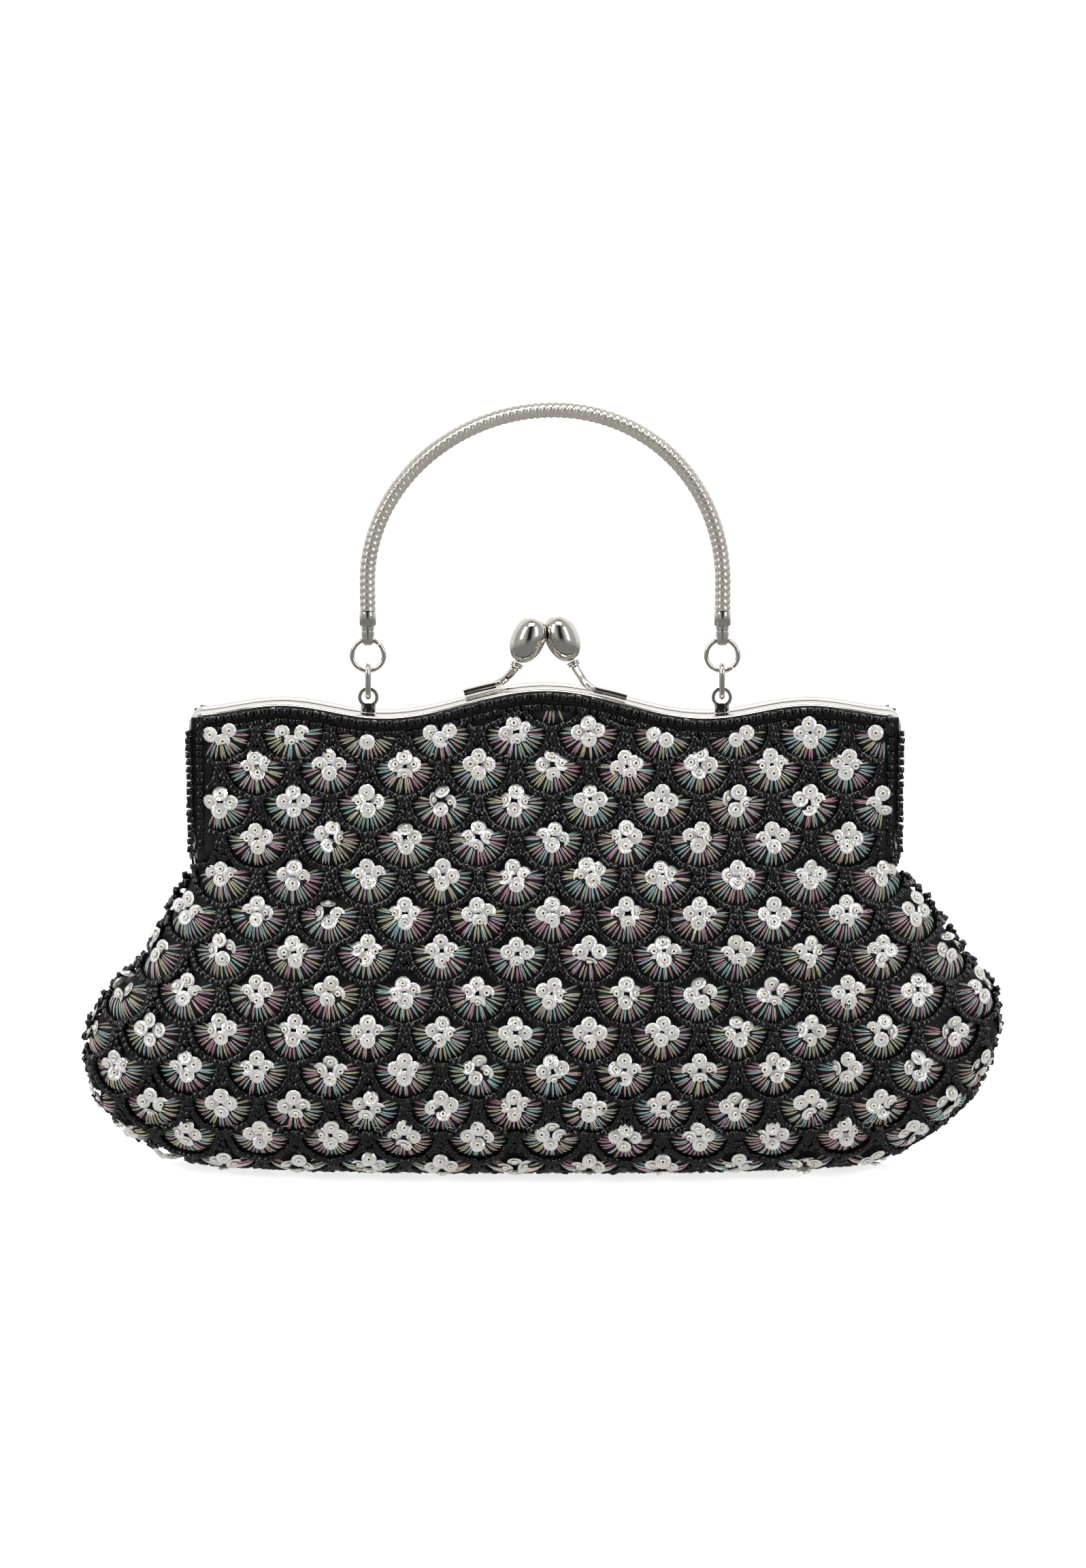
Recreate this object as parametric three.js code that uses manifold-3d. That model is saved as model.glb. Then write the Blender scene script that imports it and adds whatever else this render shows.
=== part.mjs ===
// Evening bag: a soft beaded pouch on a hinged kiss-lock frame with a snake-chain handle.
// Millimetres, +Z up, +X to the wearer's right, front of the bag towards -Y.
// The origin is on the table, in the middle under the pouch.
import * as THREE from "three";
import Module from "manifold-3d";
import { mergeVertices } from "three/addons/utils/BufferGeometryUtils.js";

const wasm = await Module();
wasm.setup();

// Frame: two channels side by side, bent to one outline
const FRAME_HALF_WIDTH = 102.5;
const HINGE_HEIGHT = 94;
const LEG_LENGTH = 42;
const CROWN_RISE = 7.3;
const DIP_X = 46.5;
const DIP_RISE = -0.8;
const LOBE_INSET = 26.5;
const LOBE_RISE = 3;
const CORNER_RADIUS = 4;
const FRAME_HALF_DEPTH = 6.5;
const HALVES_GAP = 1.4;
const FRAME_SHEET = 0.7;
const CHANNEL_DEPTH = 5;

// Frame hinge
const EAR_RADIUS = 3.4;
const EAR_LAYER_GAP = 0.3;
const RIVET_RADIUS = 1.2;
const RIVET_HEAD_RADIUS = 2.2;
const RIVET_HEAD_THICKNESS = 0.6;
const RIVET_CLEARANCE = 0.3;
const FLANGE_START = 4;

// Fabric
const PANEL_THICKNESS = 2.3;
const CHANNEL_FABRIC = 2;
const CHANNEL_FABRIC_FACE = 5.5;
const LINING_THICKNESS = 0.6;
const LINING_GAP = 0.4;
const LINING_EDGE_INSET = 9.3;
const FLANGE_CLEARANCE = 1.8;
const SEAM_GAP = 0.3;
const FOLD_BELOW_HINGE = 10;
const FOLD_ABOVE_HINGE = 1.5;
const REAR_BLEND_BELOW_HINGE = 6;
const FABRIC_EDGE_INSET = 2.3;
const POUCH_HALF_DEPTH = 28.5;

// Cord crimped in each channel
const CORD_RADIUS = 0.8;
const CORD_INSET = 2.7;
const CORD_Y = 2.4;

// Bead rows
const BEAD_SIZE = 1.7;
const BORDER_OUTSET = 0.9;
const BORDER_WIDTH = 4.5;
const BORDER_CLEARANCE = 0.35;

// Kiss-lock
const EGG_X = 5.2;
const EGG_Y = 1.2;
const EGG_ABOVE_FRAME = 13.5;
const EGG_LENGTH = 13.6;
const EGG_RADIUS = 5.1;
const EGG_TILT = THREE.MathUtils.degToRad(24);
const EGG_FACET_X = 0.2;
const COLLAR_RADIUS = 1.8;
const COLLAR_LENGTH = 1.4;
const STEM_RADIUS = 1.15;
const FOOT_NEAR_X = 11.6;
const FOOT_FAR_X = 23.5;
const FOOT_THICKNESS = 2.2;
const FOOT_WIDTH = 3.4;
const PART_GAP = 0.3;

// Lugs, links, rings and handle
const HANDLE_X = 51;
const LUG_EYE_ABOVE_FRAME = 4.4;
const LUG_EYE_RADIUS = 1.95;
const LUG_RADIUS = 3;
const LUG_NECK = 4.2;
const LUG_SHEET = 0.8;
const LUG_TAIL = 4;
const LINK_WIRE = 0.75;
const LINK_BEND = 2.45;
const LINK_LENGTH = 11;
const RING_RADIUS = 4.575;
const RING_WIRE = 0.725;
const CAP_HOLE_RADIUS = 1.15;
const CAP_HOLE_WALL = 0.45;
const CAP_NECK_RADIUS = 1.85;
const CAP_RADIUS = 2.375;
const CAP_NECK_LENGTH = 5.9;
const CAP_LENGTH = 10.1;
const CHAIN_RADIUS = 2.35;
const CHAIN_BORE = 1.5;
const CORE_RADIUS = 0.9;
const ARCH_LEG = 8.2;

const nickel = new THREE.MeshStandardMaterial({ color: 0xc9c7c1, roughness: 0.18, metalness: 1 });
const chainNickel = new THREE.MeshStandardMaterial({ color: 0xbdb9b0, roughness: 0.32, metalness: 1 });
const embroidery = new THREE.MeshStandardMaterial({ color: 0x151517, roughness: 0.6, metalness: 0 });
const jet = new THREE.MeshStandardMaterial({ color: 0x060607, roughness: 0.2, metalness: 0 });
const satin = new THREE.MeshStandardMaterial({ color: 0x0d0d10, roughness: 0.5, metalness: 0 });
const paper = new THREE.MeshStandardMaterial({ color: 0x8d8470, roughness: 0.9, metalness: 0 });

const bag = new THREE.Group();

function piece(name, geometry, material) {
  const mesh = new THREE.Mesh(geometry, material);
  mesh.name = name;
  bag.add(mesh);
}

// --- Solids ---

function toSolid(geometry) {
  const bare = new THREE.BufferGeometry();
  const source = geometry.index ? geometry.toNonIndexed() : geometry;
  bare.setAttribute("position", source.getAttribute("position"));
  const merged = mergeVertices(bare, 1e-4);
  return new wasm.Manifold(
    new wasm.Mesh({
      numProp: 3,
      vertProperties: merged.attributes.position.array,
      triVerts: new Uint32Array(merged.index.array),
    }),
  );
}

function toGeometry(solid) {
  const mesh = solid.getMesh();
  const geometry = new THREE.BufferGeometry();
  geometry.setAttribute("position", new THREE.BufferAttribute(mesh.vertProperties, 3));
  geometry.setIndex(new THREE.BufferAttribute(mesh.triVerts, 1));
  geometry.computeVertexNormals();
  return geometry;
}

// A flat outline in the XZ plane, given thickness from y = low to y = high.
function slab(outline, low, high, curveSegments = 12) {
  const shape = outline instanceof THREE.Shape ? outline : new THREE.Shape(outline);
  const settings = { depth: high - low, bevelEnabled: false, curveSegments };
  const geometry = new THREE.ExtrudeGeometry(shape, settings);
  return geometry.rotateX(Math.PI / 2).translate(0, high, 0);
}

function block(lowX, highX, lowY, highY, lowZ, highZ) {
  return new THREE.BoxGeometry(highX - lowX, highY - lowY, highZ - lowZ).translate(
    (lowX + highX) / 2,
    (lowY + highY) / 2,
    (lowZ + highZ) / 2,
  );
}

// A round bar along X.
function barAlongX(radius, lowX, highX, y, z, sides = 20) {
  const geometry = new THREE.CylinderGeometry(radius, radius, highX - lowX, sides);
  return geometry.rotateZ(Math.PI / 2).translate((lowX + highX) / 2, y, z);
}

function circle(radius, sides, hole = 0) {
  const shape = new THREE.Shape().absarc(0, 0, radius, 0, 2 * Math.PI, false);
  if (hole > 0) shape.holes.push(new THREE.Path().absarc(0, 0, hole, 0, 2 * Math.PI, true));
  return { shape, sides };
}

function sweep(section, path, steps) {
  // A full circle takes two points for each curve segment.
  const curveSegments = section.sides / 2;
  const settings = { steps, extrudePath: path, curveSegments, bevelEnabled: false };
  return new THREE.ExtrudeGeometry(section.shape, settings);
}

// A closed sheet between an outer and an inner grid of points.
function sheet(rows, columns, outer, inner) {
  const points = [];
  for (const face of [outer, inner])
    for (let i = 0; i < rows; i++)
      for (let j = 0; j < columns; j++) points.push(...face(i, j));
  const outerAt = (i, j) => i * columns + j;
  const innerAt = (i, j) => rows * columns + outerAt(i, j);
  const faces = [];
  const quad = (a, b, c, d) => faces.push(a, b, c, a, c, d);
  for (let i = 0; i < rows - 1; i++)
    for (let j = 0; j < columns - 1; j++) {
      quad(outerAt(i, j), outerAt(i, j + 1), outerAt(i + 1, j + 1), outerAt(i + 1, j));
      quad(innerAt(i, j), innerAt(i + 1, j), innerAt(i + 1, j + 1), innerAt(i, j + 1));
    }
  const last = { i: rows - 1, j: columns - 1 };
  for (let j = 0; j < last.j; j++) {
    quad(outerAt(0, j), innerAt(0, j), innerAt(0, j + 1), outerAt(0, j + 1));
    quad(outerAt(last.i, j), outerAt(last.i, j + 1), innerAt(last.i, j + 1), innerAt(last.i, j));
  }
  for (let i = 0; i < last.i; i++) {
    quad(outerAt(i, 0), outerAt(i + 1, 0), innerAt(i + 1, 0), innerAt(i, 0));
    quad(outerAt(i, last.j), innerAt(i, last.j), innerAt(i + 1, last.j), outerAt(i + 1, last.j));
  }
  const geometry = new THREE.BufferGeometry();
  geometry.setAttribute("position", new THREE.Float32BufferAttribute(points, 3));
  geometry.setIndex(faces);
  return geometry;
}

// The same sheet seen from behind: y changes sign and the faces turn round.
function mirrorY(geometry) {
  const mirrored = geometry.clone().scale(1, -1, 1);
  const index = mirrored.index.array;
  for (let i = 0; i < index.length; i += 3) [index[i + 1], index[i + 2]] = [index[i + 2], index[i + 1]];
  return mirrored;
}

function turnedRound(geometry) {
  return geometry.clone().rotateZ(Math.PI);
}

// --- Frame outline ---

const cornerHeight = HINGE_HEIGHT + LEG_LENGTH;
const crownHeight = cornerHeight + CROWN_RISE;
const dipHeight = cornerHeight + DIP_RISE;
const lobeHeight = cornerHeight + LOBE_RISE;
const lobeX = FRAME_HALF_WIDTH - LOBE_INSET;

const ease = (from, to, share) => from + ((to - from) * (1 - Math.cos(Math.PI * share))) / 2;

// Height of the frame's top edge: a centre crown, two dips and two side lobes.
function frameTop(x) {
  const away = Math.abs(x);
  if (away < DIP_X) return ease(crownHeight, dipHeight, away / DIP_X);
  if (away < lobeX) return ease(dipHeight, lobeHeight, (away - DIP_X) / (lobeX - DIP_X));
  return ease(lobeHeight, cornerHeight, (away - lobeX) / LOBE_INSET);
}

// The frame's outline, moved inwards, from the foot of the left leg to the foot of the right one.
function outline(inset, foot, radius = Math.max(CORNER_RADIUS - inset, 0.6)) {
  const side = FRAME_HALF_WIDTH - inset;
  const topStart = side - radius;
  const corner = frameTop(topStart) - inset;
  const half = [new THREE.Vector2(side, foot)];
  for (let k = 0; k <= 4; k++) {
    const angle = (k * Math.PI) / 8;
    half.push(
      new THREE.Vector2(topStart + radius * Math.cos(angle), corner - radius * (1 - Math.sin(angle))),
    );
  }
  const steps = 16;
  for (let k = 1; k <= steps; k++) {
    const x = topStart * (1 - k / steps);
    half.push(new THREE.Vector2(x, frameTop(x) - inset));
  }
  const left = half.slice(0, -1).map((p) => new THREE.Vector2(-p.x, p.y));
  return [...left, ...half.reverse()];
}

function band(from, to, foot) {
  return [...outline(from, foot), ...outline(to, foot).reverse()];
}

// --- Frame halves, rivets and channel cords ---

const innerFace = HALVES_GAP / 2;
const outerWeb = FRAME_HALF_WIDTH - FRAME_SHEET;
const innerEarHigh = outerWeb - EAR_LAYER_GAP;
const innerEarLow = innerEarHigh - FRAME_SHEET;
const flangeFoot = HINGE_HEIGHT + FLANGE_START;
const rivetHole = RIVET_RADIUS + RIVET_CLEARANCE;

// One channel in front of the middle plane, open towards the pouch.
function channel(foot) {
  const full = toSolid(slab(band(0, CHANNEL_DEPTH, foot), -FRAME_HALF_DEPTH, -innerFace));
  const hollow = slab(
    band(FRAME_SHEET, CHANNEL_DEPTH + 2, foot - 1),
    FRAME_SHEET - FRAME_HALF_DEPTH,
    -innerFace - FRAME_SHEET,
  );
  return full.subtract(toSolid(hollow));
}

function frontFrame() {
  const foot = HINGE_HEIGHT + 0.5;
  let solid = channel(foot).subtract(
    toSolid(block(-outerWeb, outerWeb, -10, 10, foot - 1, flangeFoot)),
  );
  for (const side of [-1, 1]) {
    const layer = [side * outerWeb, side * FRAME_HALF_WIDTH].sort((a, b) => a - b);
    solid = solid
      .add(toSolid(barAlongX(EAR_RADIUS, ...layer, 0, HINGE_HEIGHT)))
      .subtract(toSolid(barAlongX(rivetHole, layer[0] - 1, layer[1] + 1, 0, HINGE_HEIGHT)));
  }
  return toGeometry(solid);
}

function rearFrame() {
  let solid = toSolid(turnedRound(toGeometry(channel(flangeFoot))));
  for (const side of [-1, 1]) {
    const ear = [side * innerEarLow, side * innerEarHigh].sort((a, b) => a - b);
    const root = [side * innerEarLow, side * (outerWeb + 0.1)].sort((a, b) => a - b);
    solid = solid
      .add(toSolid(block(...root, innerFace, 5, flangeFoot, flangeFoot + 6)))
      .add(toSolid(block(...ear, innerFace, 5, HINGE_HEIGHT, flangeFoot + 6)))
      .add(toSolid(barAlongX(EAR_RADIUS, ...ear, 0, HINGE_HEIGHT)))
      .subtract(toSolid(barAlongX(rivetHole, ear[0] - 1, ear[1] + 1, 0, HINGE_HEIGHT)));
  }
  return toGeometry(solid);
}

// A rivet through both ears, with a head on each side.
function rivet(side) {
  const innerHead = innerEarLow - PART_GAP;
  const outerHead = FRAME_HALF_WIDTH + PART_GAP;
  const profile = [
    [0, innerHead - RIVET_HEAD_THICKNESS],
    [RIVET_HEAD_RADIUS, innerHead - RIVET_HEAD_THICKNESS],
    [RIVET_HEAD_RADIUS, innerHead],
    [RIVET_RADIUS, innerHead],
    [RIVET_RADIUS, outerHead],
    [RIVET_HEAD_RADIUS, outerHead],
    [RIVET_HEAD_RADIUS * 0.7, outerHead + RIVET_HEAD_THICKNESS],
    [0, outerHead + RIVET_HEAD_THICKNESS],
  ].map(([r, h]) => new THREE.Vector2(r, h));
  const geometry = new THREE.LatheGeometry(profile, 16).rotateZ((-side * Math.PI) / 2);
  return geometry.translate(0, 0, HINGE_HEIGHT);
}

function channelCord() {
  const line = outline(CORD_INSET, flangeFoot + 8, 3).map((p) => new THREE.Vector3(p.x, -CORD_Y, p.y));
  const path = new THREE.CatmullRomCurve3(line, false, "centripetal");
  return sweep(circle(CORD_RADIUS, 6), path, 56);
}

piece("front_frame", frontFrame(), nickel);
piece("rear_frame", rearFrame(), nickel);
piece("hinge_rivet_right", rivet(1), nickel);
piece("hinge_rivet_left", rivet(-1), nickel);
piece("front_channel_cord", channelCord(), paper);
piece("rear_channel_cord", turnedRound(channelCord()), paper);

// --- Kiss-lock: the front one is described, and the rear one is the same turned half round ---

const eggHeight = crownHeight + EGG_ABOVE_FRAME;
const eggAxis = new THREE.Vector3(-Math.sin(EGG_TILT), 0, Math.cos(EGG_TILT));
const eggCentre = new THREE.Vector3(EGG_X, EGG_Y, eggHeight);

function alongEgg(geometry) {
  return geometry
    .rotateX(Math.PI / 2)
    .rotateY(-EGG_TILT)
    .translate(eggCentre.x, eggCentre.y, eggCentre.z);
}

const collarTop = -EGG_LENGTH / 2 - PART_GAP;
const stemTop = collarTop - COLLAR_LENGTH - PART_GAP;

function claspEgg() {
  const profile = [];
  const steps = 12;
  for (let k = 0; k <= steps; k++) {
    const angle = (k * Math.PI) / steps;
    const along = (-EGG_LENGTH / 2) * Math.cos(angle);
    // The egg is fullest a little above its middle.
    const radius = EGG_RADIUS * Math.sin(angle) * (1 - 0.16 * Math.cos(angle) * Math.sin(angle));
    profile.push(new THREE.Vector2(k === 0 || k === steps ? 0 : radius, along));
  }
  const egg = toSolid(alongEgg(new THREE.LatheGeometry(profile, 18)));
  const beyondFacet = block(EGG_FACET_X - 30, EGG_FACET_X, -20, 20, eggHeight - 20, eggHeight + 20);
  return toGeometry(egg.subtract(toSolid(beyondFacet)));
}

function claspCollar() {
  const low = collarTop - COLLAR_LENGTH;
  const profile = [
    [0, low],
    [COLLAR_RADIUS * 0.75, low],
    [COLLAR_RADIUS, low + 0.4],
    [COLLAR_RADIUS, collarTop - 0.4],
    [COLLAR_RADIUS * 0.75, collarTop],
    [0, collarTop],
  ].map(([r, h]) => new THREE.Vector2(r, h));
  return alongEgg(new THREE.LatheGeometry(profile, 16));
}

function claspStem() {
  const footY = -(FRAME_HALF_DEPTH + innerFace) / 2;
  const top = eggCentre.clone().addScaledVector(eggAxis, stemTop);
  const bendX = FOOT_NEAR_X + 1.6;
  const bend = new THREE.Vector3(bendX, footY, frameTop(bendX) + PART_GAP + STEM_RADIUS);
  const shoulder = new THREE.Vector3(
    FOOT_NEAR_X - 1.6,
    footY * 0.6,
    frameTop(FOOT_NEAR_X - 1.6) + PART_GAP + STEM_RADIUS + 2.2,
  );
  const end = new THREE.Vector3(bendX + 5, footY, frameTop(bendX + 5) + PART_GAP + STEM_RADIUS);
  const neck = top.clone().addScaledVector(eggAxis, -1);
  const route = [top, neck, shoulder, bend, end];
  const path = new THREE.CatmullRomCurve3(route, false, "centripetal");
  const rod = toSolid(sweep(circle(STEM_RADIUS, 10), path, 20));
  const under = [];
  const over = [];
  for (let k = 0; k <= 4; k++) {
    const x = FOOT_NEAR_X + ((FOOT_FAR_X - FOOT_NEAR_X) * k) / 4;
    under.push(new THREE.Vector2(x, frameTop(x) + PART_GAP));
    over.unshift(new THREE.Vector2(x, frameTop(x) + PART_GAP + FOOT_THICKNESS));
  }
  const foot = slab([...under, ...over], footY - FOOT_WIDTH / 2, footY + FOOT_WIDTH / 2);
  return toGeometry(rod.add(toSolid(foot)));
}

piece("front_clasp_stem", claspStem(), nickel);
piece("front_clasp_collar", claspCollar(), nickel);
piece("front_clasp_bead", claspEgg(), nickel);
piece("rear_clasp_stem", turnedRound(claspStem()), nickel);
piece("rear_clasp_collar", turnedRound(claspCollar()), nickel);
piece("rear_clasp_bead", turnedRound(claspEgg()), nickel);

// --- Lugs, links and rings, each hanging the next one with the same gap ---

const lugEyeHeight = frameTop(HANDLE_X) + LUG_EYE_ABOVE_FRAME;
const lugRimHeight = lugEyeHeight + (LUG_EYE_RADIUS + LUG_RADIUS) / 2;
const linkTop = lugRimHeight - LINK_BEND - LINK_WIRE + LINK_LENGTH;
const ringBottomWire = linkTop - 2 * LINK_WIRE - RING_WIRE - PART_GAP;
const ringHeight = ringBottomWire + RING_RADIUS;
const capHoleHeight = ringHeight + RING_RADIUS - 0.1;
const capBottom = capHoleHeight - CAP_HOLE_RADIUS - CAP_HOLE_WALL;
const chainStart = capBottom + CAP_LENGTH + PART_GAP;

// A flat stamped lug with a round eye, its tail held between the frame halves.
function lug(x) {
  const foot = frameTop(x) - LUG_TAIL;
  const neck = LUG_NECK / 2;
  const shoulder = Math.asin(neck / LUG_RADIUS);
  const shape = new THREE.Shape();
  shape.moveTo(x - neck, foot);
  shape.lineTo(x + neck, foot);
  shape.absarc(x, lugEyeHeight, LUG_RADIUS, shoulder - Math.PI / 2, 1.5 * Math.PI - shoulder, false);
  shape.closePath();
  shape.holes.push(
    new THREE.Path().absarc(x, lugEyeHeight, LUG_EYE_RADIUS, 0, 2 * Math.PI, true),
  );
  return slab(shape, -LUG_SHEET / 2, LUG_SHEET / 2, 10);
}

// An oval link in the YZ plane: a ring whose upper half is moved up.
function link(x) {
  const geometry = new THREE.TorusGeometry(LINK_BEND, LINK_WIRE, 10, 24);
  const stretch = LINK_LENGTH - 2 * (LINK_BEND + LINK_WIRE);
  const position = geometry.getAttribute("position");
  for (let k = 0; k < position.count; k++)
    if (position.getY(k) > -1e-4) position.setY(k, position.getY(k) + stretch);
  return geometry.rotateX(Math.PI / 2).rotateZ(Math.PI / 2).translate(x, 0, lugRimHeight);
}

function ring(x) {
  const geometry = new THREE.TorusGeometry(RING_RADIUS, RING_WIRE, 8, 28);
  return geometry.rotateX(Math.PI / 2).translate(x, 0, ringHeight);
}

// A turned end cap: a round neck with a groove and a cross hole, and a wider socket for the chain.
function endCap(x) {
  const neckTop = capBottom + CAP_NECK_LENGTH;
  const groove = neckTop - 2;
  const profile = [
    [0, capBottom],
    [CAP_NECK_RADIUS * 0.55, capBottom + 0.15],
    [CAP_NECK_RADIUS * 0.87, capBottom + 0.7],
    [CAP_NECK_RADIUS, capBottom + 1.4],
    [CAP_NECK_RADIUS, groove],
    [CAP_NECK_RADIUS - 0.2, groove + 0.2],
    [CAP_NECK_RADIUS - 0.2, groove + 0.5],
    [CAP_NECK_RADIUS, groove + 0.7],
    [CAP_NECK_RADIUS, neckTop],
    [CAP_RADIUS, neckTop + 0.2],
    [CAP_RADIUS, capBottom + CAP_LENGTH],
    [0, capBottom + CAP_LENGTH],
  ].map(([r, h]) => new THREE.Vector2(r, h));
  const body = new THREE.LatheGeometry(profile, 18).rotateX(Math.PI / 2).translate(x, 0, 0);
  const hole = barAlongX(CAP_HOLE_RADIUS, x - 5, x + 5, 0, capHoleHeight, 16);
  return toGeometry(toSolid(body).subtract(toSolid(hole)));
}

for (const [name, side] of [
  ["left", -1],
  ["right", 1],
]) {
  const x = side * HANDLE_X;
  piece(`lug_${name}`, lug(x), nickel);
  piece(`link_${name}`, link(x), nickel);
  piece(`ring_${name}`, ring(x), nickel);
  piece(`end_cap_${name}`, endCap(x), nickel);
}

// --- Handle: a snake chain over a spring wire core, bent to a round arch on two short legs ---

class Arch extends THREE.Curve {
  getPoint(share) {
    const archHeight = chainStart + ARCH_LEG;
    const along = share * (2 * ARCH_LEG + Math.PI * HANDLE_X);
    if (along < ARCH_LEG) return new THREE.Vector3(HANDLE_X, 0, chainStart + along);
    const angle = (along - ARCH_LEG) / HANDLE_X;
    if (angle < Math.PI)
      return new THREE.Vector3(
        HANDLE_X * Math.cos(angle),
        0,
        archHeight + HANDLE_X * Math.sin(angle),
      );
    const down = along - ARCH_LEG - Math.PI * HANDLE_X;
    return new THREE.Vector3(-HANDLE_X, 0, archHeight - down);
  }
}

piece("handle_chain", sweep(circle(CHAIN_RADIUS, 10, CHAIN_BORE), new Arch(), 44), chainNickel);
piece("handle_core_wire", sweep(circle(CORE_RADIUS, 6), new Arch(), 44), chainNickel);

// --- Pouch ---

const foldLow = HINGE_HEIGHT - FOLD_BELOW_HINGE;
const foldHigh = HINGE_HEIGHT + FOLD_ABOVE_HINGE;
const rearBlendHeight = HINGE_HEIGHT - REAR_BLEND_BELOW_HINGE;
const fabricEdgeX = FRAME_HALF_WIDTH - FABRIC_EDGE_INSET;

// The pouch from the middle of the base up to the fold: share of the fold height, how far the side
// stands out past the frame, and share of the half depth.
const POUCH_FORM = [
  [0, -22.5, 0],
  [0, -14.5, 0.386],
  [0.018, -7.5, 0.579],
  [0.06, 1.5, 0.737],
  [0.131, 11, 0.87],
  [0.238, 20.5, 0.968],
  [0.369, 26.2, 1],
  [0.5, 27.1, 0.968],
  [0.631, 24.5, 0.905],
  [0.762, 17, 0.821],
  [0.881, 9, 0.737],
  [1, 1.5, 0.639],
];
const POUCH_ROWS = POUCH_FORM.map(([rise, flare, share]) => [
  rise * foldLow,
  FRAME_HALF_WIDTH + flare,
  share * POUCH_HALF_DEPTH,
]);
// Above the fold the panel runs in to the channel: share of the way up, and share of the depth left.
const UPPER_FORM = [
  [0, 1],
  [0.14, 0.826],
  [0.35, 0.617],
  [0.55, 0.443],
  [0.76, 0.278],
  [1, 0.087],
];
// Columns across a panel, as shares of its half width: three to the dip, two to the lobe,
// two to the lining's edge, and the last two in the legs' channels.
const channelStation = (FRAME_HALF_WIDTH - CHANNEL_DEPTH - FLANGE_CLEARANCE) / fabricEdgeX;
const liningStation = (FRAME_HALF_WIDTH - LINING_EDGE_INSET) / fabricEdgeX;
const dipStation = DIP_X / fabricEdgeX;
const lobeStation = lobeX / fabricEdgeX;
const STATIONS = [
  0,
  dipStation / 3,
  (2 * dipStation) / 3,
  dipStation,
  (dipStation + lobeStation) / 2,
  lobeStation,
  (lobeStation + liningStation) / 2,
  liningStation,
  channelStation,
  1,
];
const ROUNDNESS = 2.4;
const BELOW_CHANNEL = CHANNEL_DEPTH + FLANGE_CLEARANCE;

function between(table, height) {
  let k = 1;
  while (k < table.length - 1 && table[k][0] < height) k++;
  const [h0, d0] = table[k - 1];
  const [h1, d1] = table[k];
  return d0 + ((d1 - d0) * (height - h0)) / (h1 - h0);
}

function mirroredStations(limit) {
  const kept = STATIONS.filter((s) => s <= limit);
  return [...kept.slice(1).reverse().map((s) => -s), ...kept];
}

const upperFoot = rearBlendHeight;
const upperSwell = POUCH_ROWS.at(-1)[2] - 1.2 - CHANNEL_FABRIC_FACE;
const swellAt = (height) => {
  const share = Math.min((height - upperFoot) / (crownHeight - BELOW_CHANNEL - upperFoot), 1);
  return upperSwell * between(UPPER_FORM, share);
};

// Inward direction of the pouch's middle section at each row.
function inward(rows, i) {
  const before = rows[Math.max(i - 1, 0)];
  const after = rows[Math.min(i + 1, rows.length - 1)];
  const along = new THREE.Vector2(after[2] - before[2], after[0] - before[0]).normalize();
  return i === 0 ? { y: 0, z: 1 } : { y: -along.y, z: along.x };
}

function lowerPoint(row, station, offset, direction) {
  const [height, halfWidth, halfDepth] = row;
  const depth = Math.max(halfDepth + offset * direction.y, 0);
  const bulge = Math.pow(1 - Math.pow(Math.abs(station), ROUNDNESS), 1 / ROUNDNESS);
  return [(halfWidth - offset) * station, -depth * bulge - SEAM_GAP / 2, height + offset * direction.z];
}

function upperPoint(x, height, flat, offset) {
  const share = Math.min(Math.abs(x) / (fabricEdgeX * channelStation), 1);
  const swell = flat ? 0 : swellAt(height) * Math.pow(1 - Math.pow(share, ROUNDNESS), 0.6);
  const depth = CHANNEL_FABRIC_FACE + swell;
  return [x, -depth + offset, height];
}

// Upper rows: shares of the way from the fold up to just under the channel, then two rows in it.
function upperRow(share, fold, x) {
  const limit = frameTop(x) - BELOW_CHANNEL;
  return fold + (limit - fold) * share;
}

function upperSheet(fold, columns, from, to, intoChannel) {
  const shares = [0, 0.2, 0.42, 0.64, 0.84, 1];
  const rows = shares.length + (intoChannel ? 2 : 0);
  const at = (offset) => (i, j) => {
    const x = columns[j] * fabricEdgeX;
    if (i < shares.length) return upperPoint(x, upperRow(shares[i], fold, x), false, offset);
    const inset = i === shares.length ? CHANNEL_DEPTH + 0.2 : FRAME_SHEET + 0.5;
    return upperPoint(x, frameTop(x) - inset, true, offset);
  };
  return { rows, outer: at(from), inner: at(to) };
}

function frontUpper(columns, from, to, intoChannel) {
  const upper = upperSheet(foldHigh, columns, from, to, intoChannel);
  return sheet(upper.rows, columns.length, upper.outer, upper.inner);
}

function frontLower(columns, from, to) {
  const at = (offset) => (i, j) =>
    lowerPoint(POUCH_ROWS[i], columns[j], offset, inward(POUCH_ROWS, i));
  return sheet(POUCH_ROWS.length, columns.length, at(from), at(to));
}

// The whole rear side in one sheet, described in front and mirrored.
function wholeRear(columns, from, to, intoChannel) {
  const upper = upperSheet(rearBlendHeight, columns, from, to, intoChannel);
  const lower = POUCH_ROWS.length;
  const join = (face, offset) => (i, j) =>
    i < lower
      ? lowerPoint(POUCH_ROWS[i], columns[j], offset, inward(POUCH_ROWS, i))
      : face(i - lower, j);
  const geometry = sheet(
    lower + upper.rows,
    columns.length,
    join(upper.outer, from),
    join(upper.inner, to),
  );
  return mirrorY(geometry);
}

const panelColumns = mirroredStations(1);
const liningColumns = mirroredStations(liningStation);
const liningFace = PANEL_THICKNESS + LINING_GAP;
const liningBack = liningFace + LINING_THICKNESS;

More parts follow.
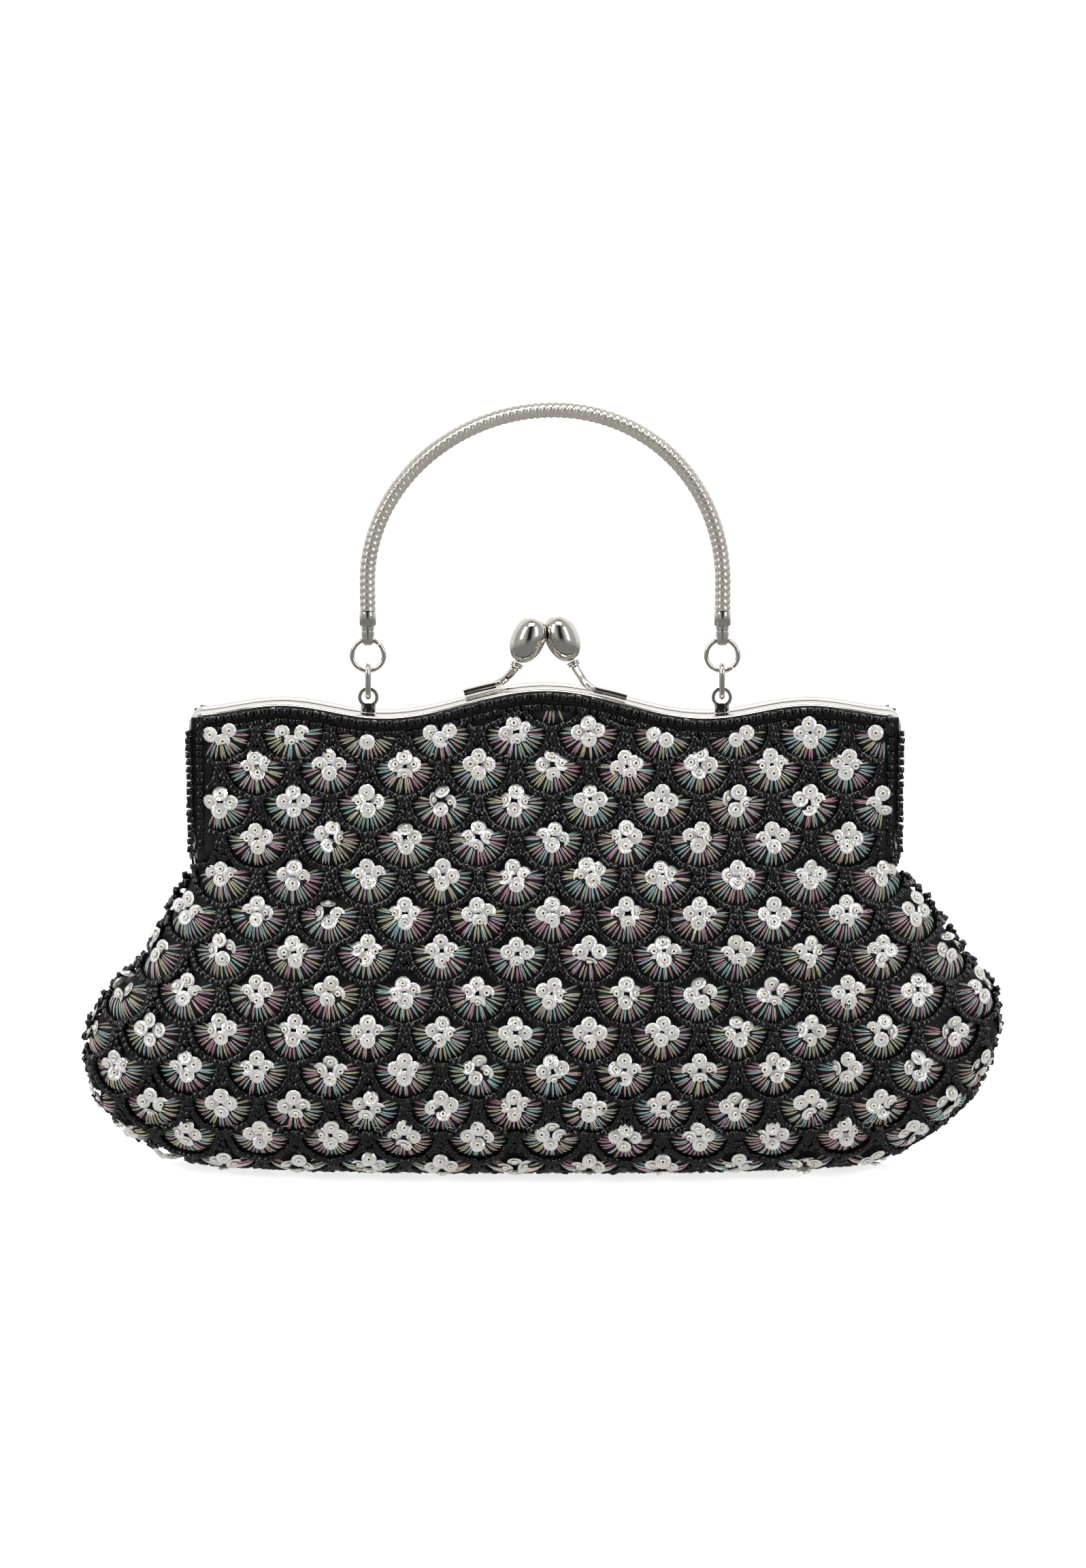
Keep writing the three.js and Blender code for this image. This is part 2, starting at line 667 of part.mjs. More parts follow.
piece("front_upper_panel", frontUpper(panelColumns, 0, CHANNEL_FABRIC, true), embroidery);
piece("front_lower_panel", frontLower(panelColumns, 0, PANEL_THICKNESS), embroidery);
piece("rear_panel", wholeRear(panelColumns, 0, CHANNEL_FABRIC, true), embroidery);
piece("front_upper_lining", frontUpper(liningColumns, liningFace, liningBack, false), satin);
piece("front_lower_lining", frontLower(liningColumns, liningFace, liningBack), satin);
piece("rear_lining", wholeRear(liningColumns, liningFace, liningBack, false), satin);

// --- Bead rows along the frame and down the side seams ---

function beadBorder() {
  const foot = HINGE_HEIGHT + 1;
  const back = -FRAME_HALF_DEPTH - BORDER_CLEARANCE;
  return slab(band(-BORDER_OUTSET, BORDER_WIDTH - BORDER_OUTSET, foot), back - BEAD_SIZE, back);
}

function seamBeads(side) {
  const rows = [...POUCH_ROWS.slice(4), [rearBlendHeight, FRAME_HALF_WIDTH - 1.5, 0]];
  const inner = rows.map(([z, w]) => new THREE.Vector2(side * (w + BORDER_CLEARANCE), z));
  const outer = rows.map(([z, w]) => new THREE.Vector2(side * (w + BORDER_CLEARANCE + BEAD_SIZE), z));
  return slab([...inner, ...outer.reverse()], -BEAD_SIZE / 2, BEAD_SIZE / 2);
}

piece("front_bead_border", beadBorder(), jet);
piece("rear_bead_border", turnedRound(beadBorder()), jet);
piece("seam_beads_right", seamBeads(1), jet);
piece("seam_beads_left", seamBeads(-1), jet);

export default bag;
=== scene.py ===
import math

import bpy
import numpy as np
from mathutils import Matrix, Vector


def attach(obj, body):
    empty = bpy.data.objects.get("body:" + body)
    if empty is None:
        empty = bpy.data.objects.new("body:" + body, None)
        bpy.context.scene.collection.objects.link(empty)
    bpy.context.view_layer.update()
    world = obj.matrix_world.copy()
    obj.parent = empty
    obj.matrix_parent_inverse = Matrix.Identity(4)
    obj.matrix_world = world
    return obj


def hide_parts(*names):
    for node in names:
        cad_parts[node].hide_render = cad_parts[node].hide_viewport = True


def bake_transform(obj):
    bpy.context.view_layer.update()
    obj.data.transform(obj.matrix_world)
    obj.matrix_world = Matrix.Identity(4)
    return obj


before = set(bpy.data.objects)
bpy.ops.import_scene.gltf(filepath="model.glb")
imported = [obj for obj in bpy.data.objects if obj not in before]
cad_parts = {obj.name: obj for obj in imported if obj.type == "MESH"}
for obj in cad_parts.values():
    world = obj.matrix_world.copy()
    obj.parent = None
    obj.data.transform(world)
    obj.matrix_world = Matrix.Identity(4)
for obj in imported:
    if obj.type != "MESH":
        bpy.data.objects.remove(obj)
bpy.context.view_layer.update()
MM = 0.001

# --- Studio ---
# A pale table lit from all round by large soft lamps, with a dark gap in front where the
# camera stands: polished metal needs it to show its shape.
VIEW_ELEVATION = math.radians(12)
VIEW_DISTANCE = 1.4
VIEW_MIDDLE = Vector((-0.0006, 0, 0.1142))
LENS = 111
TABLE_SIZE = 60
TABLE_DROP = 0.0002
TABLE_GLOW = 0.74
WHITE = (1, 1, 1, 1)
GROUND_GREY = 0.26
# Steps of the surroundings, each a place and its brightness or share.
GAP_TO_ROOM = ((0.14, 0.015), (0.42, 0.5))
ROOM_TO_PAPER = ((0.05, 0), (0.35, 1))
HORIZON_TO_GROUND = ((0.02, 0), (0.3, 1))


def start_fresh():
    if bpy.context.mode != "OBJECT":
        bpy.ops.object.mode_set(mode="OBJECT")
    bpy.ops.object.select_all(action="DESELECT")


def new_finish(name):
    material = bpy.data.materials.new(name)
    material.use_nodes = True
    return material, material.node_tree, material.node_tree.nodes["Principled BSDF"]


def add_node(tree, kind, **values):
    node = tree.nodes.new(kind)
    for socket, value in values.items():
        node.inputs[socket.replace("_", " ")].default_value = value
    return node


def mottle(tree, source, scale, low, high, target, detail=3.0):
    """Cloudy variation between two values or colours, laid on one input of the shader."""
    cloud = add_node(tree, "ShaderNodeTexNoise", Scale=scale, Detail=detail)
    tree.links.new(source, cloud.inputs["Vector"])
    ramp = tree.nodes.new("ShaderNodeValToRGB")
    ramp.color_ramp.elements[0].position = 0.3
    ramp.color_ramp.elements[1].position = 0.7
    ramp.color_ramp.elements[0].color = low
    ramp.color_ramp.elements[1].color = high
    tree.links.new(cloud.outputs["Fac"], ramp.inputs["Fac"])
    tree.links.new(ramp.outputs["Color"], target)


def grey(value):
    return (value, value, value, 1)


def relief(tree, height, shader, strength, distance):
    bump = add_node(tree, "ShaderNodeBump", Strength=strength, Distance=distance)
    tree.links.new(height, bump.inputs["Height"])
    tree.links.new(bump.outputs["Normal"], shader.inputs["Normal"])


def table_finish():
    material, tree, shader = new_finish("white_table")
    place = tree.nodes.new("ShaderNodeTexCoord")
    mottle(tree, place.outputs["Object"], 2, grey(0.86), grey(0.9), shader.inputs["Base Color"])
    shader.inputs["Roughness"].default_value = 0.7
    shader.inputs["Emission Color"].default_value = WHITE
    shader.inputs["Emission Strength"].default_value = TABLE_GLOW
    return material


start_fresh()
bpy.ops.mesh.primitive_plane_add(size=TABLE_SIZE, location=(0, 0, -TABLE_DROP))
table = bpy.context.object
table.name = "table"
table.data.materials.append(table_finish())
table.visible_glossy = False


def studio_world():
    """Pale paper behind, dim room at the sides and a dark gap in front."""
    world = bpy.data.worlds.new("studio")
    world.use_nodes = True
    tree = world.node_tree
    place = tree.nodes.new("ShaderNodeTexCoord")
    parts = tree.nodes.new("ShaderNodeSeparateXYZ")
    tree.links.new(place.outputs["Generated"], parts.inputs["Vector"])

    def shade(source, steps):
        ramp = tree.nodes.new("ShaderNodeValToRGB")
        for element, (position, value) in zip(ramp.color_ramp.elements, steps):
            element.position = position
            element.color = grey(value)
        tree.links.new(source, ramp.inputs["Fac"])
        return ramp.outputs["Color"]

    def mixed(share, first, second):
        """The first colour, giving way to the second as the share grows."""
        mix = tree.nodes.new("ShaderNodeMix")
        mix.data_type = "RGBA"
        tree.links.new(share, mix.inputs["Factor"])
        tree.links.new(first, mix.inputs["A"])
        mix.inputs["B"].default_value = second
        return mix.outputs["Result"]

    aside = tree.nodes.new("ShaderNodeMath")
    aside.operation = "ABSOLUTE"
    tree.links.new(parts.outputs["X"], aside.inputs[0])
    room = shade(aside.outputs[0], GAP_TO_ROOM)
    paper = mixed(shade(parts.outputs["Y"], ROOM_TO_PAPER), room, WHITE)
    below = tree.nodes.new("ShaderNodeMath")
    below.operation = "MULTIPLY"
    below.inputs[1].default_value = -1
    tree.links.new(parts.outputs["Z"], below.inputs[0])
    ground = mixed(shade(below.outputs[0], HORIZON_TO_GROUND), paper, grey(GROUND_GREY))
    seen = tree.nodes.new("ShaderNodeLightPath")
    sight = mixed(seen.outputs["Is Camera Ray"], ground, WHITE)
    tree.links.new(sight, tree.nodes["Background"].inputs["Color"])
    return world


bpy.context.scene.world = studio_world()
bpy.context.scene.view_settings.view_transform = "Standard"


def softbox(name, place, size, power, aim=VIEW_MIDDLE):
    light = bpy.data.lights.new(name, "AREA")
    light.shape = "RECTANGLE"
    light.size = size[0]
    light.size_y = size[1]
    light.energy = power
    lamp = bpy.data.objects.new(name, light)
    bpy.context.scene.collection.objects.link(lamp)
    lamp.location = place
    lamp.rotation_euler = (Vector(aim) - Vector(place)).to_track_quat("-Z", "Y").to_euler()


softbox("left_lamp", (-1.1, -0.9, 0.9), (0.5, 1.2), 8.5)
softbox("right_lamp", (1.0, -1.0, 0.7), (0.4, 1.2), 5.5)
softbox("top_lamp", (0, -0.5, 1.4), (0.8, 0.5), 7)
softbox("rear_lamp", (0.2, 1.4, 0.9), (1.2, 0.8), 3)

camera = bpy.data.objects.new("camera", bpy.data.cameras.new("camera"))
bpy.context.scene.collection.objects.link(camera)
bpy.context.scene.camera = camera
towards_camera = Vector((0, -math.cos(VIEW_ELEVATION), math.sin(VIEW_ELEVATION)))
camera.location = VIEW_MIDDLE + towards_camera * VIEW_DISTANCE
camera.rotation_euler = (-towards_camera).to_track_quat("-Z", "Y").to_euler()
camera.data.lens = LENS
camera.data.clip_start = 0.05

# --- Frame halves ---
# Two U-channels of nickel-plated steel sheet, bent to one outline with a crown, two dips and
# two side lobes. The front half's ears lie outside the rear half's ears at the hinge.
FRAME_HALF_WIDTH = 102.5
HINGE_HEIGHT = 94
FLANGE_FOOT = 98
CORNER_HEIGHT = 136
CORNER_RADIUS = 4
TIGHTEST_CORNER = 0.6
CROWN_HEIGHT = 143.3
DIP_X = 46.5
DIP_HEIGHT = 135.2
LOBE_X = 76
LOBE_HEIGHT = 139
EAR_RADIUS = 3.4
SHEET = 0.7
REAR_EAR_FACES = (100.8, 101.5)


def ease(low, high, share):
    return low + (high - low) * (1 - np.cos(math.pi * share)) / 2


def frame_top(x):
    away = np.minimum(np.abs(np.asarray(x, float)), FRAME_HALF_WIDTH)
    middle = ease(CROWN_HEIGHT, DIP_HEIGHT, away / DIP_X)
    shoulder = ease(DIP_HEIGHT, LOBE_HEIGHT, (away - DIP_X) / (LOBE_X - DIP_X))
    side = ease(LOBE_HEIGHT, CORNER_HEIGHT, (away - LOBE_X) / (FRAME_HALF_WIDTH - LOBE_X))
    return np.where(away < DIP_X, middle, np.where(away < LOBE_X, shoulder, side))


def frame_outline(inset, foot=FLANGE_FOOT, leg_steps=8, corner_steps=7, top_steps=54):
    """The frame's outline moved inwards, from the foot of the left leg to that of the right."""
    radius = max(CORNER_RADIUS - inset, TIGHTEST_CORNER)
    side = FRAME_HALF_WIDTH - inset
    start = side - radius
    corner = float(frame_top(start)) - inset
    leg = [(side, z) for z in np.linspace(foot, corner - radius, leg_steps, endpoint=False)]
    turn = np.linspace(0, math.pi / 2, corner_steps)
    bend = [
        (start + radius * math.cos(t), corner - radius + radius * math.sin(t)) for t in turn
    ]
    run = [(x, float(frame_top(x)) - inset) for x in np.linspace(start, 0, top_steps)[1:]]
    right = np.array(leg + bend + run)
    left = right[:-1] * (-1, 1)
    return np.vstack([left, right[::-1]])


def mesh_piece(name, points, faces, material, smooth_angle=None):
    """A mesh object at the origin from points in millimetres."""
    mesh = bpy.data.meshes.new(name)
    mesh.from_pydata((np.asarray(points) * MM).tolist(), [], faces)
    mesh.materials.append(material)
    made = bpy.data.objects.new(name, mesh)
    bpy.context.scene.collection.objects.link(made)
    if smooth_angle is not None:
        face_outwards(made)
        smooth_below(made, smooth_angle)
    return made


def pick(*pieces):
    start_fresh()
    for piece in pieces:
        piece.select_set(True)
    bpy.context.view_layer.objects.active = pieces[0]


def face_outwards(piece):
    """Turns every face of a closed piece outwards."""
    pick(piece)
    bpy.ops.object.mode_set(mode="EDIT")
    bpy.ops.mesh.select_all(action="SELECT")
    bpy.ops.mesh.normals_make_consistent(inside=False)
    bpy.ops.object.mode_set(mode="OBJECT")


def smooth_below(piece, angle):
    """Smooth shading that leaves edges sharper than the angle crisp."""
    pick(piece)
    bpy.ops.object.shade_smooth_by_angle(angle=math.radians(angle))


def skin(name, rings, material, smooth_angle=40, closed_path=False):
    """A closed tube through rings of points, each ring closed and with the same count."""
    rings = np.asarray(rings)
    count, sides = rings.shape[:2]
    faces = []
    for i in range(count if closed_path else count - 1):
        here = i * sides
        there = ((i + 1) % count) * sides
        for k in range(sides):
            n = (k + 1) % sides
            faces.append((here + k, here + n, there + n, there + k))
    if not closed_path:
        faces.append(tuple(range(sides)))
        faces.append(tuple(reversed(range((count - 1) * sides, count * sides))))
    return mesh_piece(name, rings.reshape(-1, 3), faces, material, smooth_angle)


def joined(name, *pieces):
    pick(*pieces)
    bpy.ops.object.join()
    pieces[0].name = name
    pieces[0].data.name = name
    return pieces[0]


def finish_modifiers(piece, *settings):
    """Adds each modifier with its settings and applies it."""
    pick(piece)
    for kind, values in settings:
        modifier = piece.modifiers.new(kind.lower(), kind)
        for key, value in values.items():
            setattr(modifier, key, value)
        bpy.ops.object.modifier_apply(modifier=modifier.name)


def half_turn(piece):
    """Turns a piece half round the bag's upright middle line, from the front to the rear."""
    piece.data.transform(Matrix.Rotation(math.pi, 4, "Z"))
    return piece


def rear_copy(piece, name):
    other = piece.copy()
    other.data = piece.data.copy()
    other.name = name
    other.data.name = name
    bpy.context.scene.collection.objects.link(other)
    return half_turn(other)


def polished_metal(name, colour, tarnish, roughness, marks, metallic=1):
    """Plated metal: faint clouding of the colour, uneven polish and fine handling marks."""
    material, tree, shader = new_finish(name)
    place = tree.nodes.new("ShaderNodeTexCoord").outputs["Object"]
    mottle(tree, place, 140, (*tarnish, 1), (*colour, 1), shader.inputs["Base Color"])
    low, high = roughness
    mottle(tree, place, 420, grey(low), grey(high), shader.inputs["Roughness"], 5)
    shader.inputs["Metallic"].default_value = metallic
    scratch = add_node(tree, "ShaderNodeTexNoise", Scale=2600, Detail=2, Distortion=1.5)
    tree.links.new(place, scratch.inputs["Vector"])
    relief(tree, scratch.outputs["Fac"], shader, marks, 0.00002)
    return material


nickel = polished_metal("nickel_plate", (0.72, 0.69, 0.645), (0.64, 0.61, 0.565), (0.07, 0.16), 0.12)

# The bent sheet's section: how far in from the outline, and how far to the front.
CHANNEL_SECTION = [
    (5.0, -6.5),
    (1.1, -6.5),
    (0.55, -6.42),
    (0.2, -6.18),
    (0.03, -5.8),
    (0.0, -5.3),
    (0.0, -1.6),
    (0.06, -1.15),
    (0.3, -0.8),
    (0.75, -0.7),
    (5.0, -0.7),
    (5.0, -1.4),
    (1.0, -1.4),
    (0.75, -1.55),
    (0.7, -1.9),
    (0.7, -5.2),
    (0.8, -5.65),
    (1.1, -5.8),
    (5.0, -5.8),
]


def channel(name):
    lines = [frame_outline(inset) for inset, _ in CHANNEL_SECTION]
    rings = [
        [(line[i][0], y, line[i][1]) for line, (_, y) in zip(lines, CHANNEL_SECTION)]
        for i in range(len(lines[0]))
    ]
    return skin(name, rings, nickel, 35)


def hinge_ear(name, low_x, high_x, wing):
    """The flat foot of a leg: a sheet narrowing to a round ear about the hinge."""
    turn = np.radians(np.linspace(215, 405, 20))
    eye = [(EAR_RADIUS * math.cos(t), HINGE_HEIGHT + EAR_RADIUS * math.sin(t)) for t in turn]
    outline = [*eye, *wing]
    rings = [[(x, y, z) for y, z in outline] for x in (low_x, high_x)]
    ear = skin(name, rings, nickel, None)
    finish_modifiers(ear, ("BEVEL", {"width": 0.12 * MM, "segments": 2, "limit_method": "ANGLE"}))
    return ear


def frame_half(name, ear_low, ear_high, wing):
    body = channel(name)
    ears = [hinge_ear("ear", ear_low, ear_high, wing), hinge_ear("ear", -ear_high, -ear_low, wing)]
    half = joined(name, body, *ears)
    face_outwards(half)
    smooth_below(half, 35)
    return half


front_wing = [(-0.75, 98.6), (-6.45, 98.6), (-6.45, 96.4)]
rear_wing = [(-0.75, 103.6), (-4.9, 103.6), (-4.9, 96.8)]
front_frame = frame_half("front_frame_channel", FRAME_HALF_WIDTH - SHEET, FRAME_HALF_WIDTH, front_wing)
rear_frame = half_turn(frame_half("rear_frame_channel", *REAR_EAR_FACES, rear_wing))
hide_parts("front_frame")
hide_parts("rear_frame")
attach(front_frame, "front_frame_half")
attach(rear_frame, "rear_frame_and_pouch")

# --- Hinge rivets ---
# One steel rivet through both ears on each side, its outer head domed and its inner end
# peened over.
RIVET_HEAD = 2.2
RIVET_SHANK = 1.2


def turned(name, profile, material, sides=32, smooth_angle=40):
    """A piece turned on a lathe: a line of (radius, height) points spun round the Z axis."""
    mesh = bpy.data.meshes.new(name)
    points = [(radius * MM, 0, height * MM) for radius, height in profile]
    mesh.from_pydata(points, [(k, k + 1) for k in range(len(points) - 1)], [])
    mesh.materials.append(material)
    made = bpy.data.objects.new(name, mesh)
    bpy.context.scene.collection.objects.link(made)
    pick(made)
    bpy.ops.object.mode_set(mode="EDIT")
    bpy.ops.mesh.select_all(action="SELECT")
    bpy.ops.mesh.spin(steps=sides, angle=2 * math.pi, center=(0, 0, 0), axis=(0, 0, 1))
    bpy.ops.mesh.select_all(action="SELECT")
    bpy.ops.mesh.remove_doubles(threshold=0.002 * MM)
    bpy.ops.object.mode_set(mode="OBJECT")
    face_outwards(made)
    smooth_below(made, smooth_angle)
    return made


for side, name in ((1, "right"), (-1, "left")):
    rivet = turned(
        f"rivet_{name}",
        [
            (0, 99.85),
            (1.5, 99.9),
            (2.0, 100.1),
            (RIVET_HEAD, 100.35),
            (RIVET_HEAD, 100.5),
            (RIVET_SHANK, 100.55),
            (RIVET_SHANK, 102.75),
            (RIVET_HEAD, 102.8),
            (RIVET_HEAD, 102.95),
            (1.9, 103.2),
            (1.2, 103.38),
            (0, 103.45),
        ],
        nickel,
    )
    rivet.data.transform(Matrix.Rotation(side * math.pi / 2, 4, "Y"))
    rivet.data.transform(Matrix.Translation((0, 0, HINGE_HEIGHT * MM)))
    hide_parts(f"hinge_rivet_{name}")
    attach(rivet, "rear_frame_and_pouch")

# --- Cords crimped in the channels ---
# A two-ply twisted paper cord is pushed into each channel over the cloth and the lining, and
# the channel is squeezed shut on it.
CORD_RADIUS = 0.76
CORD_TWIST = 3.2
CORD_INSET = 2.75
CORD_Y = -2.45
CORD_FOOT = 106


def along(line, spacing):
    """Evenly spaced points on a line of points, with the distance of each from its start."""
    line = np.asarray(line, float)
    steps = np.linalg.norm(np.diff(line, axis=0), axis=1)
    distance = np.concatenate([[0], np.cumsum(steps)])
    count = max(int(round(distance[-1] / spacing)), 1) + 1
    wanted = np.linspace(0, distance[-1], count)
    return np.stack([np.interp(wanted, distance, c) for c in line.T], 1), wanted


def tube_rings(line, sides, radius_at, twist_at=lambda s: 0.0, across=(0, 1, 0)):
    """Rings round a line of points. radius_at(angle, distance) gives (along `across`, other)."""
    line = np.asarray(line, float)
    tangent = np.gradient(line, axis=0)
    tangent /= np.linalg.norm(tangent, axis=1)[:, None]
    distance = np.concatenate([[0], np.cumsum(np.linalg.norm(np.diff(line, axis=0), axis=1))])
    side = np.asarray(across, float) - tangent * (tangent @ np.asarray(across, float))[:, None]
    side /= np.linalg.norm(side, axis=1)[:, None]
    up = np.cross(tangent, side)
    angles = np.linspace(0, 2 * math.pi, sides, endpoint=False)
    rings = []
    for i, s in enumerate(distance):
        turn = angles + twist_at(s)
        wide, high = radius_at(angles, s)
        rings.append(
            line[i]
            + np.outer(wide * np.cos(turn), side[i])
            + np.outer(high * np.sin(turn), up[i])
        )
    return np.array(rings)


def paper_finish():
    material, tree, shader = new_finish("twisted_paper")
    place = tree.nodes.new("ShaderNodeTexCoord").outputs["Object"]
    brown = (0.25, 0.2, 0.13, 1)
    mottle(tree, place, 600, brown, (0.36, 0.3, 0.21, 1), shader.inputs["Base Color"])
    shader.inputs["Roughness"].default_value = 0.9
    fibre = add_node(tree, "ShaderNodeTexNoise", Scale=4000, Detail=4)
    tree.links.new(place, fibre.inputs["Vector"])
    relief(tree, fibre.outputs["Fac"], shader, 0.6, 0.00005)
    return material


twisted_paper = paper_finish()


def ply(angles, _):
    radius = CORD_RADIUS * (1 - 0.16 * np.cos(2 * angles) ** 2)
    return radius, radius


cord_route = [(x, CORD_Y, z) for x, z in frame_outline(CORD_INSET, CORD_FOOT)]
cord_line, _ = along(cord_route, 0.9)
cord_rings = tube_rings(cord_line, 8, ply, lambda s: s / CORD_TWIST)
front_cord = skin("front_crimp_cord", cord_rings, twisted_paper, 60)
rear_cord = rear_copy(front_cord, "rear_crimp_cord")
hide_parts("front_channel_cord")
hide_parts("rear_channel_cord")
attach(front_cord, "front_frame_half")
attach(rear_cord, "rear_frame_and_pouch")

# --- Kiss-lock ---
# Two cast and plated egg beads on bent stems, one from each frame half. They are pushed past
# each other to lock. Each stem's foot is brazed along the top of its half.
EGG_LENGTH = 13.8
EGG_RADIUS = 4.85
EGG_TILT = math.radians(24)
EGG_CENTRE = (4.95, 1.2, 156.8)
EGG_STEPS = 24
FACET_DEPTH = 4.45
PARTING_POINT = (0.14, 0, 0)
PARTING_SLOPE = (-1, -0.42, 0)
STEM_TOP = -9.0
STEM_RADIUS = 1.2
FOOT_Y = -3.6
FOOT_X = (14.2, 18.8, 23.5)
FOOT_START_X = 12.4
FOOT_GAP = 0.3
FOOT_HALF_HEIGHT = 1.15
FOOT_TAPER = 2.5


def on_egg_axis(piece):
    """Moves a piece made upright at the origin onto the front bead's leaning axis."""
    centre = Matrix.Translation([c * MM for c in EGG_CENTRE])
    piece.data.transform(centre @ Matrix.Rotation(-EGG_TILT, 4, "Y"))


def egg_profile():
    points = []
    for k in range(EGG_STEPS + 1):
        angle = math.pi * k / EGG_STEPS
        radius = EGG_RADIUS * math.sin(angle) ** 0.84 * (1 - 0.05 * math.cos(angle))
        height = -EGG_LENGTH / 2 * math.cos(angle)
        points.append((0 if k in (0, EGG_STEPS) else radius, height))
    return points


def cut_flat(piece, point, normal):
    """Cuts away all that lies beyond a plane and closes the cut."""
    pick(piece)
    bpy.ops.object.mode_set(mode="EDIT")
    bpy.ops.mesh.select_all(action="SELECT")
    bpy.ops.mesh.bisect(
        plane_co=[c * MM for c in point], plane_no=normal, use_fill=True, clear_outer=True
    )
    bpy.ops.object.mode_set(mode="OBJECT")


front_egg = turned("front_clasp_egg", egg_profile(), nickel, 40)
for lean in (-1, 1):
    facing = Vector((-0.8, lean * 0.6, -0.06)).normalized()
    cut_flat(front_egg, facing * FACET_DEPTH, facing)
on_egg_axis(front_egg)
cut_flat(front_egg, PARTING_POINT, PARTING_SLOPE)
finish_modifiers(
    front_egg,
    ("BEVEL", {"width": 0.22 * MM, "segments": 3, "limit_method": "ANGLE", "angle_limit": 0.3}),
)
smooth_below(front_egg, 30)

front_collar = turned(
    "front_clasp_ring",
    [
        (0, -8.7),
        (1.35, -8.7),
        (1.75, -8.6),
        (1.92, -8.3),
        (1.75, -8.02),
        (1.5, -7.93),
        (1.72, -7.83),
        (2.0, -7.55),
        (1.95, -7.3),
        (1.6, -7.2),
        (0, -7.2),
    ],
    nickel,
    32,
    60,
)
on_egg_axis(front_collar)


def smooth_through(points, steps):
    """A smooth line through a few points (Catmull-Rom), in steps from each to the next."""
    points = np.asarray(points, float)
    ends = np.vstack([2 * points[0] - points[1], points, 2 * points[-1] - points[-2]])
    share = np.linspace(0, 1, steps, endpoint=False)[:, None]
    line = []
    for a, b, c, d in zip(ends, ends[1:], ends[2:], ends[3:]):
        line.append(
            0.5
            * (
                2 * b
                + (c - a) * share
                + (2 * a - 5 * b + 4 * c - d) * share**2
                + (3 * b - a - 3 * c + d) * share**3
            )
        )
    return np.vstack([*line, points[-1:]])


def eased(share):
    """A share from 0 to 1 that starts and ends gently."""
    return share * share * (3 - 2 * share)


egg_axis = np.array([-math.sin(EGG_TILT), 0, math.cos(EGG_TILT)])
stem_top = np.array(EGG_CENTRE) + egg_axis * STEM_TOP
foot_line = [(x, FOOT_Y, float(frame_top(x)) + FOOT_GAP + FOOT_HALF_HEIGHT) for x in FOOT_X]
stem_route = [stem_top, (10.3, -0.9, 146.2), (11.9, -2.9, 144.3), *foot_line]
stem_line, stem_distance = along(smooth_through(stem_route, 24), 0.35)
foot_start = float(stem_distance[np.argmax(stem_line[:, 0] > FOOT_START_X)])


def stem_size(angles, distance):
    """Round above, and spread to a flat-bottomed bar where it lies on the frame."""
    flat = eased(min(max((distance - foot_start) / FOOT_TAPER, 0), 1))
    square = (np.abs(np.cos(angles)) ** 6 + np.abs(np.sin(angles)) ** 6) ** (-1 / 6)
    shape = 1 + flat * 0.75 * (square - 1)
    return (STEM_RADIUS + 0.5 * flat) * shape, (STEM_RADIUS - 0.18 * flat) * shape


front_stem = skin("front_clasp_arm", tube_rings(stem_line, 20, stem_size), nickel, 40)
finish_modifiers(
    front_stem,
    ("BEVEL", {"width": 0.2 * MM, "segments": 2, "limit_method": "ANGLE", "angle_limit": 0.9}),
)
for piece, node in (
    (front_egg, "clasp_bead"),
    (front_collar, "clasp_collar"),
    (front_stem, "clasp_stem"),
):
    rear_piece = rear_copy(piece, piece.name.replace("front", "rear"))
    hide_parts(f"front_{node}")
    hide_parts(f"rear_{node}")
    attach(piece, "front_frame_half")
    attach(rear_piece, "rear_frame_and_pouch")

# --- Lugs, links and jump rings ---
# A stamped lug with a round eye is spot-welded between the channels under each end of the
# handle. A bent wire link hangs in its eye, and a jump ring joins the link to the end cap.
HANDLE_X = 51
LUG_EYE = 139.814
LUG_EYE_RADIUS = 1.95
LUG_RADIUS = 3.0
LUG_NECK = 2.1
LUG_SHOULDER = 136.2
LUG_WAIST = 134
LUG_FOOT = 131.4
LUG_THICKNESS = 0.8
EYE_FLAT = -1.72
LINK_WIRE = 0.78
LINK_BEND = 2.45
LINK_FOOT = 142.289
LINK_STRETCH = 4.6
RING_CENTRE = 152.139
RING_RADIUS = 4.575
RING_WIRE = 0.7
RING_OPENING = math.radians(3)


def lug_outline(count=56):
    """Outer outline of the lug from the right of its neck round the eye to the left of it."""
    shoulder = math.asin(LUG_NECK / LUG_RADIUS)
    turn = np.linspace(shoulder - math.pi / 2, 1.5 * math.pi - shoulder, count - 8)
    eye = [(LUG_RADIUS * math.cos(t), LUG_EYE + LUG_RADIUS * math.sin(t)) for t in turn]
    tail = [
        (-LUG_NECK, LUG_SHOULDER),
        (-LUG_NECK, LUG_WAIST),
        (-LUG_NECK, LUG_FOOT),
        (-0.7, LUG_FOOT),
        (0.7, LUG_FOOT),
        (LUG_NECK, LUG_FOOT),
        (LUG_NECK, LUG_WAIST),
        (LUG_NECK, LUG_SHOULDER),
    ]
    return np.array(eye + tail)


def eye_outline(count=56):
    """The lug's hole, with as many points as the outer outline and flattened at its foot."""
    turn = np.linspace(-math.pi / 2, 1.5 * math.pi, count, endpoint=False) + math.radians(28)
    x = LUG_EYE_RADIUS * np.cos(turn)
    z = LUG_EYE + np.maximum(LUG_EYE_RADIUS * np.sin(turn), EYE_FLAT)
    return np.stack([x, z], 1)


